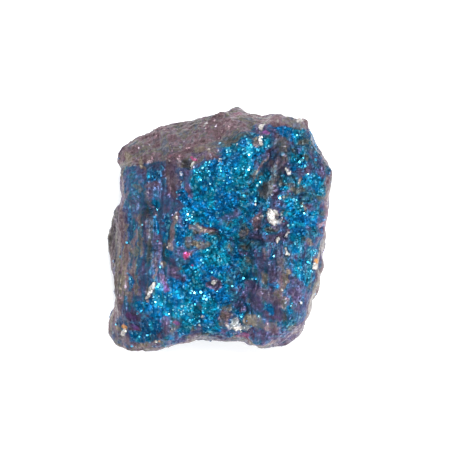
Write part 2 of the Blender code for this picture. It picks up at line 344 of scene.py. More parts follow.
VIOLET_STREAKS = {
    "shelf": ([(-14.6, 2.0), (-14.2, -3.4)], 0.8, 0.5),
    "column": ([(-10.8, 3.4), (-9.8, 0.6), (-9.9, -3.0)], 1.3, 0.22),
    "column_2": ([(-9.0, -3.4), (-9.4, -6.0)], 1.2, 0.35),
    "rose_column": ([(-6.8, 9.2), (-6.4, 6.0), (-6.2, 3.4)], 0.8, 0.6),
    "ridge": ([(-3.4, 10.5), (-2.2, 10.4)], 0.5, 0.8),
    "heart_gap": ([(-4.6, 6.6), (-4.0, 4.4)], 0.4, 0.7),
    "shore_gap": ([(-5.2, -2.8), (-6.0, -3.2)], 0.5, 0.6),
    "foot_hole": ([(-6.4, -5.8), (-5.2, -6.8)], 0.8, 1.0),
    "ring": ([(-1.7, -7.4), (-1.2, -8.0), (-0.4, -8.0), (-0.1, -7.2), (-0.8, -6.6)], 0.4, 1.0),
    "dash": ([(-8.0, -6.4), (-7.1, -8.2)], 0.45, 1.0),
    "foot": ([(-3.0, -10.0), (-2.8, -11.0)], 0.4, 0.7),
    "slope": ([(-7.4, -12.8), (-7.2, -14.2)], 0.8, 0.8),
    "slope_rose": ([(-5.9, -13.0)], 0.5, 0.9),
    "low": ([(-3.6, -14.4), (-2.6, -14.0)], 0.5, 0.7),
    "corner": ([(-12.5, -12.2), (-11.4, -12.7)], 0.75, 1.0),
    "corner_2": ([(-12.2, -13.5), (-11.0, -13.8)], 0.5, 1.0),
    "near_edge": ([(-14.6, -12.6), (-13.4, -15.4), (-8.6, -16.2)], 0.7, 0.4),
    "far": ([(5.6, 13.9), (6.4, 13.5)], 0.8, 1.0),
    "heart_low": ([(2.6, 3.0), (2.4, 2.2)], 0.5, 0.7),
    "heart_edge": ([(0.2, 1.0), (1.0, 1.6)], 0.5, 0.6),
    "right_field": ([(13.0, 10.4), (14.2, 8.8)], 0.9, 0.6),
    "groove": ([(7.0, 9.4), (7.2, 8.0)], 0.8, 0.5),
    "seat": ([(7.4, 0.6), (8.0, 0.4)], 0.5, 0.8),
    "right": ([(9.6, 5.0)], 0.4, 0.7),
    "bay": ([(9.8, -1.8)], 0.3, 0.8),
    "bay_2": ([(12.2, 0.4)], 0.4, 0.7),
    "right_low": ([(10.2, -7.4), (11.0, -8.0)], 0.6, 0.8),
    "right_low_2": ([(10.4, -8.8), (11.0, -10.8)], 1.0, 0.9),
    "bark": ([(4.4, -7.6), (5.0, -9.8)], 1.1, 0.8),
    "near_magenta": ([(8.2, -10.8), (8.4, -12.4)], 0.6, 0.8),
    "near": ([(4.4, -14.4), (7.0, -15.0), (9.8, -14.9)], 0.9, 0.75),
    "near_2": ([(6.0, -12.8), (7.4, -13.4)], 0.7, 0.5),
    "right_rim": ([(14.6, 4.0), (14.2, -2.0), (13.2, -7.0)], 0.6, 0.45),
    "bark_2": ([(5.6, -8.6), (7.2, -9.6), (8.0, -10.4)], 0.9, 0.7),
    "left_skin": ([(-14.4, 9.4), (-14.0, 6.0), (-13.9, 3.6)], 0.7, 0.6),
    "left_upper": ([(-12.6, 8.4), (-12.0, 4.2), (-11.4, 2.6)], 1.1, 0.38),
    "near_right": ([(13.0, -8.6), (12.0, -12.0), (10.6, -14.4)], 0.8, 0.6),
}
EARTH_STREAKS = {
    "groove": ([(8.6, 12.4), (8.6, 10.0), (7.2, 7.4), (7.0, 5.6)], 1.15, 0.55),
    "rose_column": ([(-7.1, 9.0), (-6.6, 7.4), (-6.2, 5.4)], 0.9, 0.62),
    "groove_bank": ([(6.4, 10.0), (5.2, 8.4), (4.4, 6.4)], 0.22, 0.8),
    "far_rim": ([(7.8, 15.1), (12.2, 14.8)], 0.7, 1.0),
    "foot_hole": ([(-6.0, -6.2), (-5.4, -6.6)], 0.5, 0.7),
    "ring": ([(-0.9, -7.4)], 0.9, 0.6),
    "groove_red": ([(5.6, 5.1), (6.6, 5.3)], 0.45, 0.5),
    "groove_foot": ([(5.4, 1.6), (5.0, 0.4)], 0.8, 0.6),
    "side_red": ([(3.2, -0.6), (3.6, -0.2)], 0.4, 0.8),
    "belt": ([(-3.8, 0.4), (-2.6, -0.1), (-1.4, -0.3)], 0.5, 0.95),
    "belt_2": ([(-4.6, -1.4), (-3.4, -2.2), (-2.4, -2.4)], 0.45, 0.85),
    "belt_3": ([(-0.4, -0.4), (0.0, -1.2)], 0.4, 0.7),
    "rib": ([(-5.9, 2.0), (-6.3, 0.2), (-6.7, -1.4), (-6.8, -2.8)], 0.35, 0.95),
    "rib_side": ([(-7.6, -2.2)], 0.4, 0.7),
    "column": ([(-10.7, -1.2), (-11.0, -3.6)], 0.35, 0.7),
    "column_0": ([(-11.4, -0.2), (-11.8, -1.6), (-12.2, -3.0)], 0.4, 0.75),
    "column_2": ([(-12.7, -2.4), (-12.9, -4.8), (-13.4, -6.4)], 0.4, 0.9),
    "column_3": ([(-11.2, 1.8), (-11.0, 0.6)], 0.5, 0.7),
    "column_4": ([(-7.7, -4.6)], 0.4, 0.9),
    "column_5": ([(-8.6, -5.6), (-9.0, -7.0)], 0.35, 0.6),
    "shelf": ([(-13.0, -6.0), (-13.3, -8.0), (-14.0, -9.8)], 0.6, 1.0),
    "shelf_2": ([(-12.7, -8.6), (-12.4, -9.8)], 0.4, 0.8),
    "upper": ([(-11.1, 9.7), (-10.7, 8.6)], 0.35, 0.9),
    "upper_2": ([(-13.2, 10.4), (-12.4, 9.8)], 0.5, 0.8),
    "far": ([(4.8, 12.4), (5.2, 11.8)], 0.4, 0.8),
    "near_edge": (
        [(-15.2, -10.5), (-15.0, -13.6), (-13.7, -15.5), (-11.0, -16.5), (-8.6, -16.0)],
        0.85, 0.65,
    ),
    "bark_red": ([(6.2, -3.0), (6.3, -3.8)], 0.4, 0.5),
    "bark_olive": ([(6.1, -6.0), (6.3, -7.2)], 0.45, 0.65),
    "bark": ([(8.4, -4.4), (8.6, -7.6)], 0.7, 0.56),
    "bark_low": ([(8.0, -9.0), (8.6, -10.2)], 0.8, 0.8),
    "tan_line": ([(9.6, -5.6), (9.3, -7.2), (8.7, -8.5)], 0.3, 1.0),
    "near_olive": ([(4.0, -12.4), (5.0, -12.9)], 0.65, 1.0),
    "near_tan": ([(6.2, -13.2), (7.6, -13.8)], 0.8, 0.6),
    "near_brown": ([(0.8, -11.2), (0.4, -11.8)], 0.5, 0.5),
    "near_brown_2": ([(0.2, -13.2)], 0.5, 0.6),
    "right": ([(11.3, 6.9), (11.0, 6.4)], 0.35, 0.9),
    "right_2": ([(10.0, 5.4), (10.2, 6.2)], 0.35, 0.8),
    "right_3": ([(11.3, 3.5), (11.9, 2.6)], 0.18, 0.7),
    "bay": ([(12.2, -1.4), (12.4, -2.0)], 0.4, 0.8),
    "ridge": ([(-6.6, 9.2), (-3.8, 9.2), (-2.4, 10.2), (-0.8, 10.5)], 0.7, 0.8),
    "right_rim": ([(15.2, 7.4), (14.8, 2.4), (14.4, -0.6)], 0.5, 0.8),
    "column_6": ([(-11.9, -4.2), (-11.7, -8.6)], 0.6, 0.7),
    "bark_3": ([(5.6, -8.8), (7.2, -9.4)], 0.7, 0.6),
    "slope": ([(-5.8, -13.6), (-6.6, -14.2)], 0.4, 0.6),
    "column_7": ([(-10.3, 2.0), (-9.6, -1.0), (-8.9, -4.6)], 0.7, 0.45),
    "quartz_specks": ([(7.45, 2.0), (7.8, 1.7)], 0.3, 0.8),
    "quartz_side": ([(1.4, -11.0), (1.0, -12.4), (0.8, -13.4)], 0.4, 0.6),
    "left_mauve": ([(-9.8, 4.6), (-9.0, 2.2)], 0.8, 0.46),
    "left_skin": ([(-13.6, 8.6), (-13.3, 4.4)], 0.5, 0.44),
    "left_olive": ([(-11.8, 6.8), (-11.0, 5.4)], 0.6, 0.46),
    "left_olive_2": ([(-10.4, 6.0), (-8.9, 6.2)], 0.4, 0.42),
}


def stroked(xy, strokes, soft=0.5):
    """The strongest of the strokes at each point; soft is the share of the half-width that fades."""
    result = np.zeros(len(xy))
    for path, half_width, strength in strokes.values():
        nearest = np.full(len(xy), np.inf)
        corners = np.array(path if len(path) > 1 else [path[0], path[0]], float)
        for a, b in zip(corners, corners[1:]):
            reach = (b - a) @ (b - a)
            along = np.clip(((xy - a) @ (b - a)) / max(reach, 1e-9), 0.0, 1.0)
            nearest = np.minimum(nearest, np.linalg.norm(xy - a - along[:, None] * (b - a), axis=1))
        result = np.maximum(result, strength * ease(1.0 + soft, 1.0 - soft, nearest / half_width))
    return result


print("streaks:", len(BLUE_STREAKS) + len(VIOLET_STREAKS) + len(EARTH_STREAKS))

# %% [markdown]
# ## Crumbs and spots
# White and cream quartz is caught in the ore as lumps and crumbs, and a few spots have tarnished to rose,
# rust or ochre. Scattering them at random would be quicker, but these are what one stone is known by, so
# each has its place. The quartz spots later decide where the crumbs of quartz grow.

# %% Crumbs and spots
PALE_SPOTS = {
    "quartz_right": ([(7.15, 2.4), (6.9, 1.6), (7.3, 1.2)], 0.5, 0.92),
    "quartz_right_2": ([(7.75, 2.6), (7.95, 2.1)], 0.24, 0.9),
    "seat": ([(5.7, 1.8)], 0.22, 0.6),
    "quartz_near": ([(2.1, -12.7), (2.2, -13.6)], 0.8, 0.64),
    "quartz_near_2": ([(1.3, -13.5), (3.6, -13.6)], 0.65, 0.58),
    "quartz_near_3": ([(2.0, -13.8), (2.9, -13.6)], 0.34, 0.85),
    "quartz_near_4": ([(1.6, -13.1)], 0.26, 0.75),
    "sliver": ([(-9.0, -7.7), (-9.7, -8.7), (-10.1, -9.5)], 0.31, 1.0),
    "corner": ([(-13.3, -14.0), (-13.5, -14.5)], 0.36, 0.85),
    "corner_2": ([(-13.9, -15.1)], 0.18, 0.6),
    "ring": ([(-0.9, -7.3)], 0.38, 1.0),
    "heart": ([(-1.1, 4.2)], 0.24, 0.5),
    "heart_2": ([(0.0, 9.4)], 0.24, 0.5),
    "heart_3": ([(2.6, 11.5)], 0.24, 0.45),
    "ridge": ([(-3.5, 9.1), (-3.8, 8.8)], 0.26, 1.0),
    "ridge_2": ([(-1.5, 10.8)], 0.24, 0.8),
    "ridge_3": ([(-7.0, 9.5)], 0.24, 0.6),
    "column": ([(-5.4, 7.6)], 0.22, 0.7),
    "column_2": ([(-5.2, 6.3)], 0.27, 0.6),
    "rib": ([(-5.9, 1.4)], 0.26, 0.8),
    "rib_2": ([(-6.9, -2.4), (-6.7, -1.8)], 0.17, 0.5),
    "far": ([(5.6, 14.1), (6.0, 14.3)], 0.27, 0.9),
    "far_2": ([(5.6, 12.5), (5.6, 11.8)], 0.27, 1.0),
    "far_3": ([(10.8, 15.1), (11.2, 15.1)], 0.26, 0.9),
    "far_4": ([(8.1, 15.0)], 0.22, 0.7),
    "crown": ([(-2.0, 14.3), (-1.8, 14.6)], 0.15, 0.4),
    "groove": ([(4.9, 3.4)], 0.21, 0.9),
    "shoulder": ([(9.1, 8.4), (9.6, 7.9)], 0.3, 0.7),
    "dash": ([(7.95, -1.2), (7.9, -1.8)], 0.19, 1.0),
    "dash_2": ([(7.8, -2.7)], 0.2, 0.5),
    "dash_3": ([(9.2, -2.8), (9.3, -3.3)], 0.21, 0.7),
    "dash_4": ([(9.3, -0.3), (9.0, -0.8)], 0.22, 0.7),
    "bark": ([(6.9, -4.8), (7.0, -5.6)], 0.15, 0.4),
    "bark_2": ([(7.0, -7.2)], 0.17, 0.5),
    "right": ([(13.1, -4.7), (13.0, -5.4)], 0.26, 1.0),
    "low": ([(11.2, -10.1)], 0.26, 0.9),
    "tan": ([(8.7, -8.4)], 0.27, 0.7),
    "near": ([(-3.0, -13.4)], 0.24, 0.9),
    "slope": ([(-6.6, -13.9)], 0.22, 0.7),
    "edge": ([(-8.8, -15.5)], 0.26, 0.9),
    "foot": ([(-2.4, -12.0)], 0.26, 0.6),
    "quartz_right_1": ([(7.4, 1.1), (8.2, 1.2)], 0.5, 0.6),
    "quartz_right_3": ([(8.6, 1.8), (8.4, 1.3)], 0.34, 0.5),
}
ROSE_SPOTS = {
    "bead": ([(-4.6, -3.6)], 0.42, 1.0),
    "bead_2": ([(-4.0, -5.1)], 0.24, 0.9),
    "ridge": ([(-7.1, 10.2), (-6.7, 10.1)], 0.4, 0.4),
    "ridge_2": ([(-5.8, 10.1), (-4.7, 10.0)], 0.45, 0.34),
    "ridge_3": ([(-3.8, 9.8), (-3.5, 9.7)], 0.3, 0.8),
    "far": ([(6.3, 13.6), (6.7, 13.4)], 0.36, 0.8),
    "crest": ([(2.0, 15.8), (2.6, 16.2)], 0.5, 0.45),
    "near": ([(2.4, -14.9), (3.8, -14.9)], 0.5, 0.5),
    "dash": ([(-7.9, -7.0), (-7.2, -8.2)], 0.16, 0.6),
    "corner": ([(-12.0, -13.6), (-11.4, -13.8)], 0.35, 0.6),
    "corner_violet": ([(-12.7, -11.9), (-11.8, -12.6)], 0.55, 0.5),
    "slope": ([(-6.2, -12.8), (-5.8, -13.1)], 0.35, 0.6),
    "right": ([(8.2, 2.3)], 0.35, 0.45),
    "low": ([(8.2, -12.1)], 0.35, 0.5),
}
RUST_SPOTS = {
    "right": ([(13.4, -4.4)], 0.42, 1.0),
    "corner": ([(-13.5, -13.4), (-13.2, -13.6)], 0.35, 0.75),
    "corner_2": ([(-8.4, -15.5)], 0.25, 0.6),
    "sliver": ([(-10.0, -9.9)], 0.3, 0.5),
}
OCHRE_SPOTS = {
    "upper": ([(-13.1, 10.4), (-12.8, 9.8)], 0.5, 0.9),
    "upper_2": ([(-11.2, 9.8), (-10.8, 8.8)], 0.4, 1.0),
    "ridge": ([(-3.2, 11.2), (-2.2, 11.0)], 0.5, 0.7),
    "ridge_2": ([(-1.6, 10.8)], 0.35, 1.0),
    "belt": ([(-3.0, 0.2), (-2.2, 0.0)], 0.4, 0.8),
    "belt_2": ([(-3.2, -2.2)], 0.5, 0.7),
    "column": ([(-11.6, -2.4), (-11.8, -3.4)], 0.35, 0.8),
    "column_2": ([(-7.8, -4.6), (-7.6, -4.9)], 0.35, 0.8),
    "shelf": ([(-13.2, -5.4), (-13.6, -8.4)], 0.25, 0.9),
    "shelf_2": ([(-13.9, -1.6), (-14.3, -6.4), (-14.7, -9.8)], 0.2, 0.9),
    "shelf_3": ([(-12.9, 0.6), (-13.0, -3.2), (-13.4, -5.2)], 0.18, 0.8),
    "shelf_4": ([(-15.4, -4.6), (-15.5, -8.6)], 0.2, 0.7),
    "sliver": ([(-9.9, -8.0), (-10.2, -8.6)], 0.35, 0.8),
    "corner": ([(-14.2, -13.8)], 0.45, 0.9),
    "near": ([(4.0, -12.4), (4.8, -12.8)], 0.5, 0.8),
    "near_2": ([(-10.9, -16.1), (-10.2, -16.0)], 0.3, 0.8),
    "tan": ([(9.6, -5.7), (9.4, -6.9)], 0.28, 1.0),
    "tan_2": ([(8.7, -8.5)], 0.4, 0.7),
    "right": ([(11.3, 6.9), (11.1, 6.4)], 0.3, 0.9),
    "right_2": ([(10.1, 5.4)], 0.32, 0.9),
    "right_3": ([(11.3, 3.6), (11.8, 2.8)], 0.25, 0.9),
    "bark": ([(6.2, -6.2), (6.3, -6.9)], 0.35, 0.6),
    "near_3": ([(0.6, -12.0), (0.2, -12.8)], 0.4, 0.6),
    "quartz_side": ([(1.5, -11.2), (1.1, -12.4), (0.9, -13.4)], 0.35, 0.6),
}
print("crumbs and spots:", sum(map(len, (PALE_SPOTS, ROSE_SPOTS, RUST_SPOTS, OCHRE_SPOTS))))

# %% [markdown]
# ## Glitter
# Some crystals happen to lie level and flash far brighter than the rest. Scattered crystals would flash at
# random places, so short strokes say where crystals with a flat top grow.

# %% Glitter
GLITTER = {
    "heart_crest": ([(4.0, 12.4), (4.1, 9.7), (3.8, 8.2)], 0.3, 0.8),
    "heart_top": ([(1.1, 10.9), (1.2, 10.3)], 0.25, 0.8),
    "heart_left": ([(-3.4, 8.1), (-2.5, 8.4), (-1.4, 9.3)], 0.25, 0.7),
    "heart_middle": ([(0.0, 8.7), (0.0, 7.5), (0.6, 7.6), (0.5, 6.6)], 0.25, 0.8),
    "heart_row": ([(-1.6, 6.8), (-0.5, 5.8)], 0.22, 0.6),
    "heart_cluster": ([(-4.6, 2.6), (-3.9, 2.4), (-4.4, 1.6)], 0.4, 1.0),
    "heart_foot": ([(-1.2, 3.8)], 0.25, 0.9),
    "heart_low": ([(-1.2, 0.9)], 0.25, 1.0),
    "heart_low_2": ([(2.1, 0.7)], 0.25, 0.9),
    "far_pair": ([(6.4, 12.3), (6.4, 11.5)], 0.25, 0.9),
    "lip": ([(5.7, 7.0), (4.8, 5.6)], 0.2, 0.9),
    "lip_foot": ([(4.7, 4.1)], 0.22, 0.9),
    "far_corner": ([(10.4, 13.3), (10.6, 12.8)], 0.3, 0.8),
    "right_upper": ([(10.1, 9.7)], 0.25, 0.8),
    "right_upper_2": ([(11.5, 8.7)], 0.25, 1.0),
    "right_field": ([(13.4, 9.7)], 0.22, 0.9),
    "right_dot": ([(8.7, 7.4)], 0.22, 0.9),
    "shoulder": ([(11.9, 7.5), (12.7, 6.5), (11.7, 6.0)], 0.25, 0.7),
    "shoulder_low": ([(14.0, 5.5)], 0.3, 0.9),
    "seat": ([(8.2, 4.6)], 0.25, 0.9),
    "bay_top": ([(9.3, 3.8), (9.5, 3.4)], 0.25, 0.8),
    "bay": ([(9.6, 0.4), (10.3, 0.8), (11.6, 0.6)], 0.3, 0.8),
    "bay_right": ([(12.8, 1.4)], 0.25, 0.8),
    "bay_low": ([(10.9, -1.7), (11.3, -2.8)], 0.25, 0.7),
    "right_flash": ([(12.8, -3.1), (13.2, -3.1)], 0.35, 1.0),
    "right_lower": ([(10.5, -5.5), (11.0, -4.9), (10.9, -6.4)], 0.3, 0.9),
    "right_edge": ([(12.3, -5.8), (12.1, -6.5)], 0.3, 1.0),
    "waist": ([(1.7, -0.7), (1.1, -1.2), (0.3, -2.5), (0.5, -3.7), (0.9, -4.6)], 0.2, 0.5),
    "low_pair": ([(4.3, -6.7), (4.9, -6.7)], 0.22, 0.9),
    "thread": ([(-8.5, -0.3)], 0.25, 1.0),
    "pool": ([(-9.95, 7.8), (-9.9, 7.2)], 0.2, 1.0),
    "shelf": ([(-14.0, -3.8)], 0.2, 1.0),
    "drop": ([(-12.4, -6.8)], 0.25, 1.0),
    "foot_left": ([(-8.6, -8.0)], 0.35, 1.0),
    "foot_left_2": ([(-8.8, -9.4), (-8.8, -10.2), (-8.1, -10.4)], 0.45, 0.9),
    "foot_middle": ([(-7.1, -9.1), (-5.8, -8.6)], 0.2, 0.7),
    "foot_pair": ([(-3.9, -8.5), (-3.4, -8.8)], 0.25, 1.0),
    "foot_blaze": ([(-5.9, -11.7), (-5.0, -10.8), (-4.3, -10.6)], 0.65, 0.75),
    "foot_line": ([(-1.9, -9.5), (-2.1, -10.3), (-2.2, -11.2)], 0.25, 0.9),
    "foot_dots": ([(-7.7, -11.5), (-7.1, -11.7)], 0.25, 1.0),
    "foot_low": ([(-4.6, -12.3), (-3.8, -12.6)], 0.2, 0.7),
    "corner": ([(-9.7, -13.0), (-9.5, -13.8)], 0.25, 0.9),
    "corner_low": ([(-11.0, -14.4), (-11.6, -15.5)], 0.22, 0.6),
    "near": ([(2.3, -12.0), (3.1, -12.0)], 0.25, 0.9),
    "near_row": ([(7.0, -14.9), (8.4, -14.8), (9.2, -15.1)], 0.2, 0.3),
}
print("rows and clusters of glitter:", len(GLITTER))

# %% [markdown]
# ## Light and hue
# The tarnish film varies in thickness, which turns the blue towards green or navy and makes some areas
# lighter or darker. The lighter and darker strokes also hold painted light and shade: painted shade in the
# groove, the hollows and the slots, painted light on ridges, the lit rim and the sparkling clusters. These
# strokes are wide and weak. They could be folded into the colours of each patch, but as strokes they cross
# patch borders, as the film does.

# %% Brighter and darker, with painted light and shade, greener and deeper
# Lighter: partly the film, partly painted light on ridges, the lit rim and sparkling clusters.
BRIGHTER_AND_PAINTED_LIGHT = {
    "crest": ([(3.9, 11.4), (4.0, 8.6)], 0.8, 0.6),
    "top": ([(0.6, 11.1), (1.4, 10.8)], 0.7, 0.5),
    "middle": ([(-3.4, 6.0), (-1.0, 5.0), (-2.4, 3.2)], 1.3, 0.5),
    "waist": ([(0.8, 0.4), (1.8, -0.8)], 0.9, 0.7),
    "foot": ([(-6.0, -9.4), (-5.4, -11.4)], 1.2, 1.0),
    "foot_left": ([(-8.4, -7.8), (-8.5, -9.8)], 0.9, 1.0),
    "foot_top": ([(-2.6, -4.0), (-3.2, -6.4)], 0.8, 0.4),
    "shoulder": ([(12.6, 6.8)], 1.2, 0.3),
    "bay": ([(10.2, 3.4), (10.4, 2.6)], 1.0, 0.3),
    "left_skin": ([(-14.2, 9.0), (-13.8, 3.8)], 1.0, 0.3),
    "bark": ([(6.0, -9.0), (9.4, -9.2)], 2.0, 0.3),
    "near": ([(4.8, -14.6), (9.8, -15.0)], 1.0, 0.5),
    "near_olive": ([(4.2, -12.6), (7.4, -13.6)], 0.9, 0.85),
    "far_rim": ([(7.8, 15.1), (12.4, 14.6)], 0.8, 0.5),
    "shelf_tan": ([(-12.6, -5.8), (-13.8, -9.8)], 0.8, 0.3),
    "cream": ([(-11.4, -0.4), (-12.0, -2.4)], 0.6, 0.4),
    "bank_line": ([(6.4, 10.0), (5.2, 8.4), (4.4, 6.4)], 0.34, 0.25),
    "lip": ([(6.9, 8.2), (4.7, 5.2)], 0.4, 0.4),
    "near_edge": ([(-15.0, -12.0), (-13.6, -15.2), (-9.0, -16.2)], 0.9, 0.3),
    "belt": ([(-3.0, 1.0), (0.4, 1.0)], 1.0, 0.9),
    "right_rim": ([(15.2, 4.0), (14.6, -1.0)], 0.7, 0.7),
    "low_violet": ([(3.4, -8.6), (4.4, -9.8)], 1.2, 0.45),
    "near_edge_2": ([(-8.4, -15.8), (-6.0, -15.3)], 0.8, 0.5),
    "near_low": ([(4.4, -15.6), (7.2, -16.0)], 0.8, 0.5),
    "near_middle": ([(0.6, -13.6), (4.8, -13.0)], 0.9, 0.35),
    "foot_core": ([(-5.4, -11.0), (-4.6, -11.4)], 0.8, 0.9),
    "foot_row": ([(-3.6, -7.6), (-2.4, -8.4)], 0.8, 0.3),
    "near_right": ([(12.4, -9.4), (11.0, -13.0)], 1.2, 0.12),
    "band_top": ([(-0.8, 14.2), (1.6, 14.6)], 0.9, 0.3),
    "left_upper": ([(-12.6, 7.4), (-12.2, 3.6)], 1.4, 0.5),
    "column_gap_2": ([(-8.0, -0.6), (-8.0, -4.0)], 0.4, 0.35),
}
# Darker: partly the film, partly painted shade in the groove, the hollows and the slots.
DARKER_AND_PAINTED_SHADE = {
    "shelf": ([(-15.6, 2.4), (-15.4, -4.0), (-15.0, -9.0)], 1.5, 0.82),
    "bank": ([(5.0, 9.6), (3.9, 7.4)], 0.8, 0.5),
    "heart_right": ([(2.6, 5.2), (2.6, 3.4)], 0.7, 0.4),
    "corner": ([(-12.0, -12.6), (-9.4, -15.0)], 1.6, 0.45),
    "left_navy": ([(-9.6, 8.4), (-7.6, 7.0)], 1.3, 0.5),
    "groove": ([(8.6, 12.6), (8.0, 8.6), (6.4, 5.4), (5.4, 3.0)], 1.6, 0.42),
    "column": ([(-9.6, 2.4), (-9.4, -6.6)], 1.3, 0.45),
    "bark_all": ([(7.2, -1.8), (8.2, -8.2)], 2.0, 0.5),
    "right": ([(11.2, 3.4), (10.8, -2.4), (11.4, -6.4)], 1.6, 0.38),
    "right_top": ([(11.0, 11.0), (12.8, 7.0)], 1.6, 0.3),
    "side": ([(3.0, -0.6), (3.4, -5.8)], 1.8, 0.6),
    "side_2": ([(5.6, 1.4), (5.4, -1.2)], 1.0, 0.4),
    "slot": ([(-7.0, 7.2), (-7.05, 5.4)], 0.3, 0.4),
    "hole": ([(-5.0, 9.1), (-4.2, 8.8)], 0.42, 0.9),
    "ridge": ([(-3.6, 10.9), (-2.4, 10.7)], 0.3, 0.6),
    "bark": ([(7.5, -3.6), (7.5, -6.2)], 0.25, 0.7),
    "low": ([(0.6, -11.4), (-0.4, -12.8)], 0.7, 0.6),
    "shadow": ([(3.1, -12.4), (3.0, -13.0)], 0.25, 0.7),
    "right_dip": ([(10.9, 8.6), (11.2, 8.2)], 0.4, 0.5),
    "foot_left": ([(-10.2, -10.2), (-9.8, -11.0)], 0.7, 0.4),
    "slope": ([(-8.0, -12.2), (-7.4, -12.6)], 0.8, 0.3),
    "groove_low": ([(7.9, 7.8), (7.2, 5.8)], 0.7, 0.5),
    "bay_low": ([(9.8, -2.2)], 0.7, 0.4),
    "right_edge": ([(12.9, -4.6), (12.6, -7.8)], 0.9, 0.45),
    "crown": ([(-5.2, 15.0), (-1.4, 16.0)], 1.0, 0.45),
    "low_2": ([(1.6, -9.4), (2.2, -11.4)], 0.9, 0.3),
    "bark_side": ([(6.6, -2.0), (6.8, -5.0)], 0.7, 0.25),
    "left_skin_low": ([(-12.9, 1.4), (-12.6, -2.6)], 0.8, 0.2),
    "low_violet": ([(2.6, -7.4), (2.2, -9.6)], 1.2, 0.2),
    "shelf_2": ([(-14.0, 1.0), (-14.0, -7.0)], 1.0, 0.35),
    "far_right": ([(12.4, 13.8), (14.9, 9.6)], 0.8, 0.5),
    "far_corner": ([(8.6, 14.2), (11.2, 13.6)], 0.9, 0.3),
    "right_shoulder": ([(13.8, 4.8), (14.0, 3.6)], 0.8, 0.3),
    "foot_right": ([(1.2, -9.0), (0.8, -10.6)], 1.0, 0.3),
    "foot_side": ([(2.2, -4.8), (2.2, -6.6)], 0.9, 0.25),
    "rose_column": ([(-7.4, 8.8), (-7.2, 5.4)], 0.5, 0.4),
    "column_lilac": ([(-10.4, 2.4), (-9.7, -1.0), (-8.9, -5.0)], 0.65, 0.8),
}
GREENISH = {
    "belt": ([(-3.8, 0.4), (-1.4, -0.3)], 0.8, 0.8),
    "belt_2": ([(-4.4, -1.6), (-2.4, -2.4)], 0.7, 0.8),
    "near_olive": ([(4.0, -12.4), (5.0, -12.9)], 0.9, 0.9),
    "crest": ([(0.4, 11.2), (2.6, 12.4), (3.6, 10.4)], 1.1, 0.8),
    "middle": ([(-2.8, 7.0), (-2.6, 4.4)], 0.9, 0.7),
    "groove": ([(3.4, 5.6), (6.2, 7.2)], 1.4, 0.8),
    "side": ([(4.0, -1.8), (3.8, -6.0)], 1.6, 0.3),
    "column": ([(-11.4, 5.4), (-12.4, 3.6)], 0.9, 0.6),
    "right": ([(8.8, 6.2), (12.6, 4.6)], 0.8, 0.9),
    "bay": ([(10.0, 3.4), (10.8, 3.0)], 0.8, 0.7),
    "upper": ([(10.4, 9.8), (11.6, 10.6)], 0.8, 0.5),
    "foot": ([(-8.7, -9.4), (-7.8, -10.0)], 0.9, 0.8),
    "foot_2": ([(-4.0, -10.2), (-2.0, -9.6)], 0.7, 0.6),
    "foot_3": ([(-3.2, -6.2), (-3.0, -7.6)], 0.9, 0.6),
    "foot_4": ([(-5.0, -13.6), (-1.4, -14.0)], 0.8, 0.6),
    "near": ([(9.6, -10.8), (9.2, -13.4)], 0.8, 1.0),
    "lower": ([(10.6, -5.0), (12.4, -7.6)], 0.8, 0.4),
}
NAVY = {
    "rose_column": ([(-7.3, 9.2), (-6.6, 7.4), (-6.2, 5.6)], 0.9, 0.9),
    "heart": ([(-4.4, 7.8), (-1.6, 8.0)], 0.9, 0.8),
    "heart_2": ([(0.4, 5.4), (-0.2, 3.8)], 0.9, 0.7),
    "heart_3": ([(5.0, 10.8), (6.0, 10.8)], 0.7, 0.6),
    "shore": ([(-5.0, 0.0), (-5.2, 2.4)], 0.8, 0.7),
    "slope": ([(-9.6, -11.6), (-7.4, -11.8)], 1.0, 0.6),
    "corner": ([(-12.4, -12.6), (-10.4, -14.4), (-8.8, -13.2)], 1.5, 1.0),
    "near": ([(6.6, -11.0), (7.6, -11.4)], 0.9, 1.0),
    "right": ([(13.0, -0.2), (13.4, 0.4)], 0.7, 0.9),
    "far": ([(8.4, 13.8), (9.0, 13.2)], 0.9, 0.9),
    "waist": ([(0.0, -2.0), (1.0, -4.6)], 0.9, 0.7),
    "row": ([(4.6, -14.6), (9.6, -14.8)], 0.9, 0.8),
    "side": ([(2.0, -4.6), (2.2, -6.2)], 1.0, 0.7),
    "pool": ([(-11.0, 8.4), (-8.4, 7.4), (-9.6, 6.0)], 1.1, 0.7),
    "bay": ([(9.8, -2.2)], 0.7, 0.6),
    "heart_4": ([(-1.6, 9.2), (1.6, 9.0)], 0.7, 0.3),
}
print("strokes of light and hue:", sum(map(len, (BRIGHTER_AND_PAINTED_LIGHT, DARKER_AND_PAINTED_SHADE, GREENISH, NAVY))))

# %% [markdown]
# ## Which way the skin faces
# The tarnish of the upper side follows the map, and that of the walls and the underside, which the map
# doesn't cover, follows noise. The height of a point can't tell them apart on a sloping stone, so the
# normals of the relaxed skin do. They are smoothed first, so that no single square decides.

# %% Directions
NORMAL_ROUNDS = 6

normals = neighbour_mean(read_vectors(ore_mesh.vertex_normals, "vector"), edges, NORMAL_ROUNDS)
normals /= np.linalg.norm(normals, axis=1)[:, None]
up = normals[:, 2]
upward = ease(0.05, 0.4, up)
side = 1.0 - upward
downward = ease(0.1, -0.25, up)
print("share that faces up:", upward.mean().round(2))

# %% [markdown]
# ## Reading the map with an unsteady hand
# A map that is read at a point's exact place would have clean, drawn borders. Reading it a little to one
# side, by an amount that wanders from point to point, roughens every border at once. Patches wander most
# and streaks fray most, ridges and crumbs stay close to their places, and glitter stays exactly in place.


# %% Shifted places
def drift(size, seed, octaves):
    """A soft random shift in X and Y for every point, from -0.5 to 0.5 along each."""
    return np.stack([soft_noise(points, size, seed + k, octaves) for k in range(2)], axis=1) - 0.5


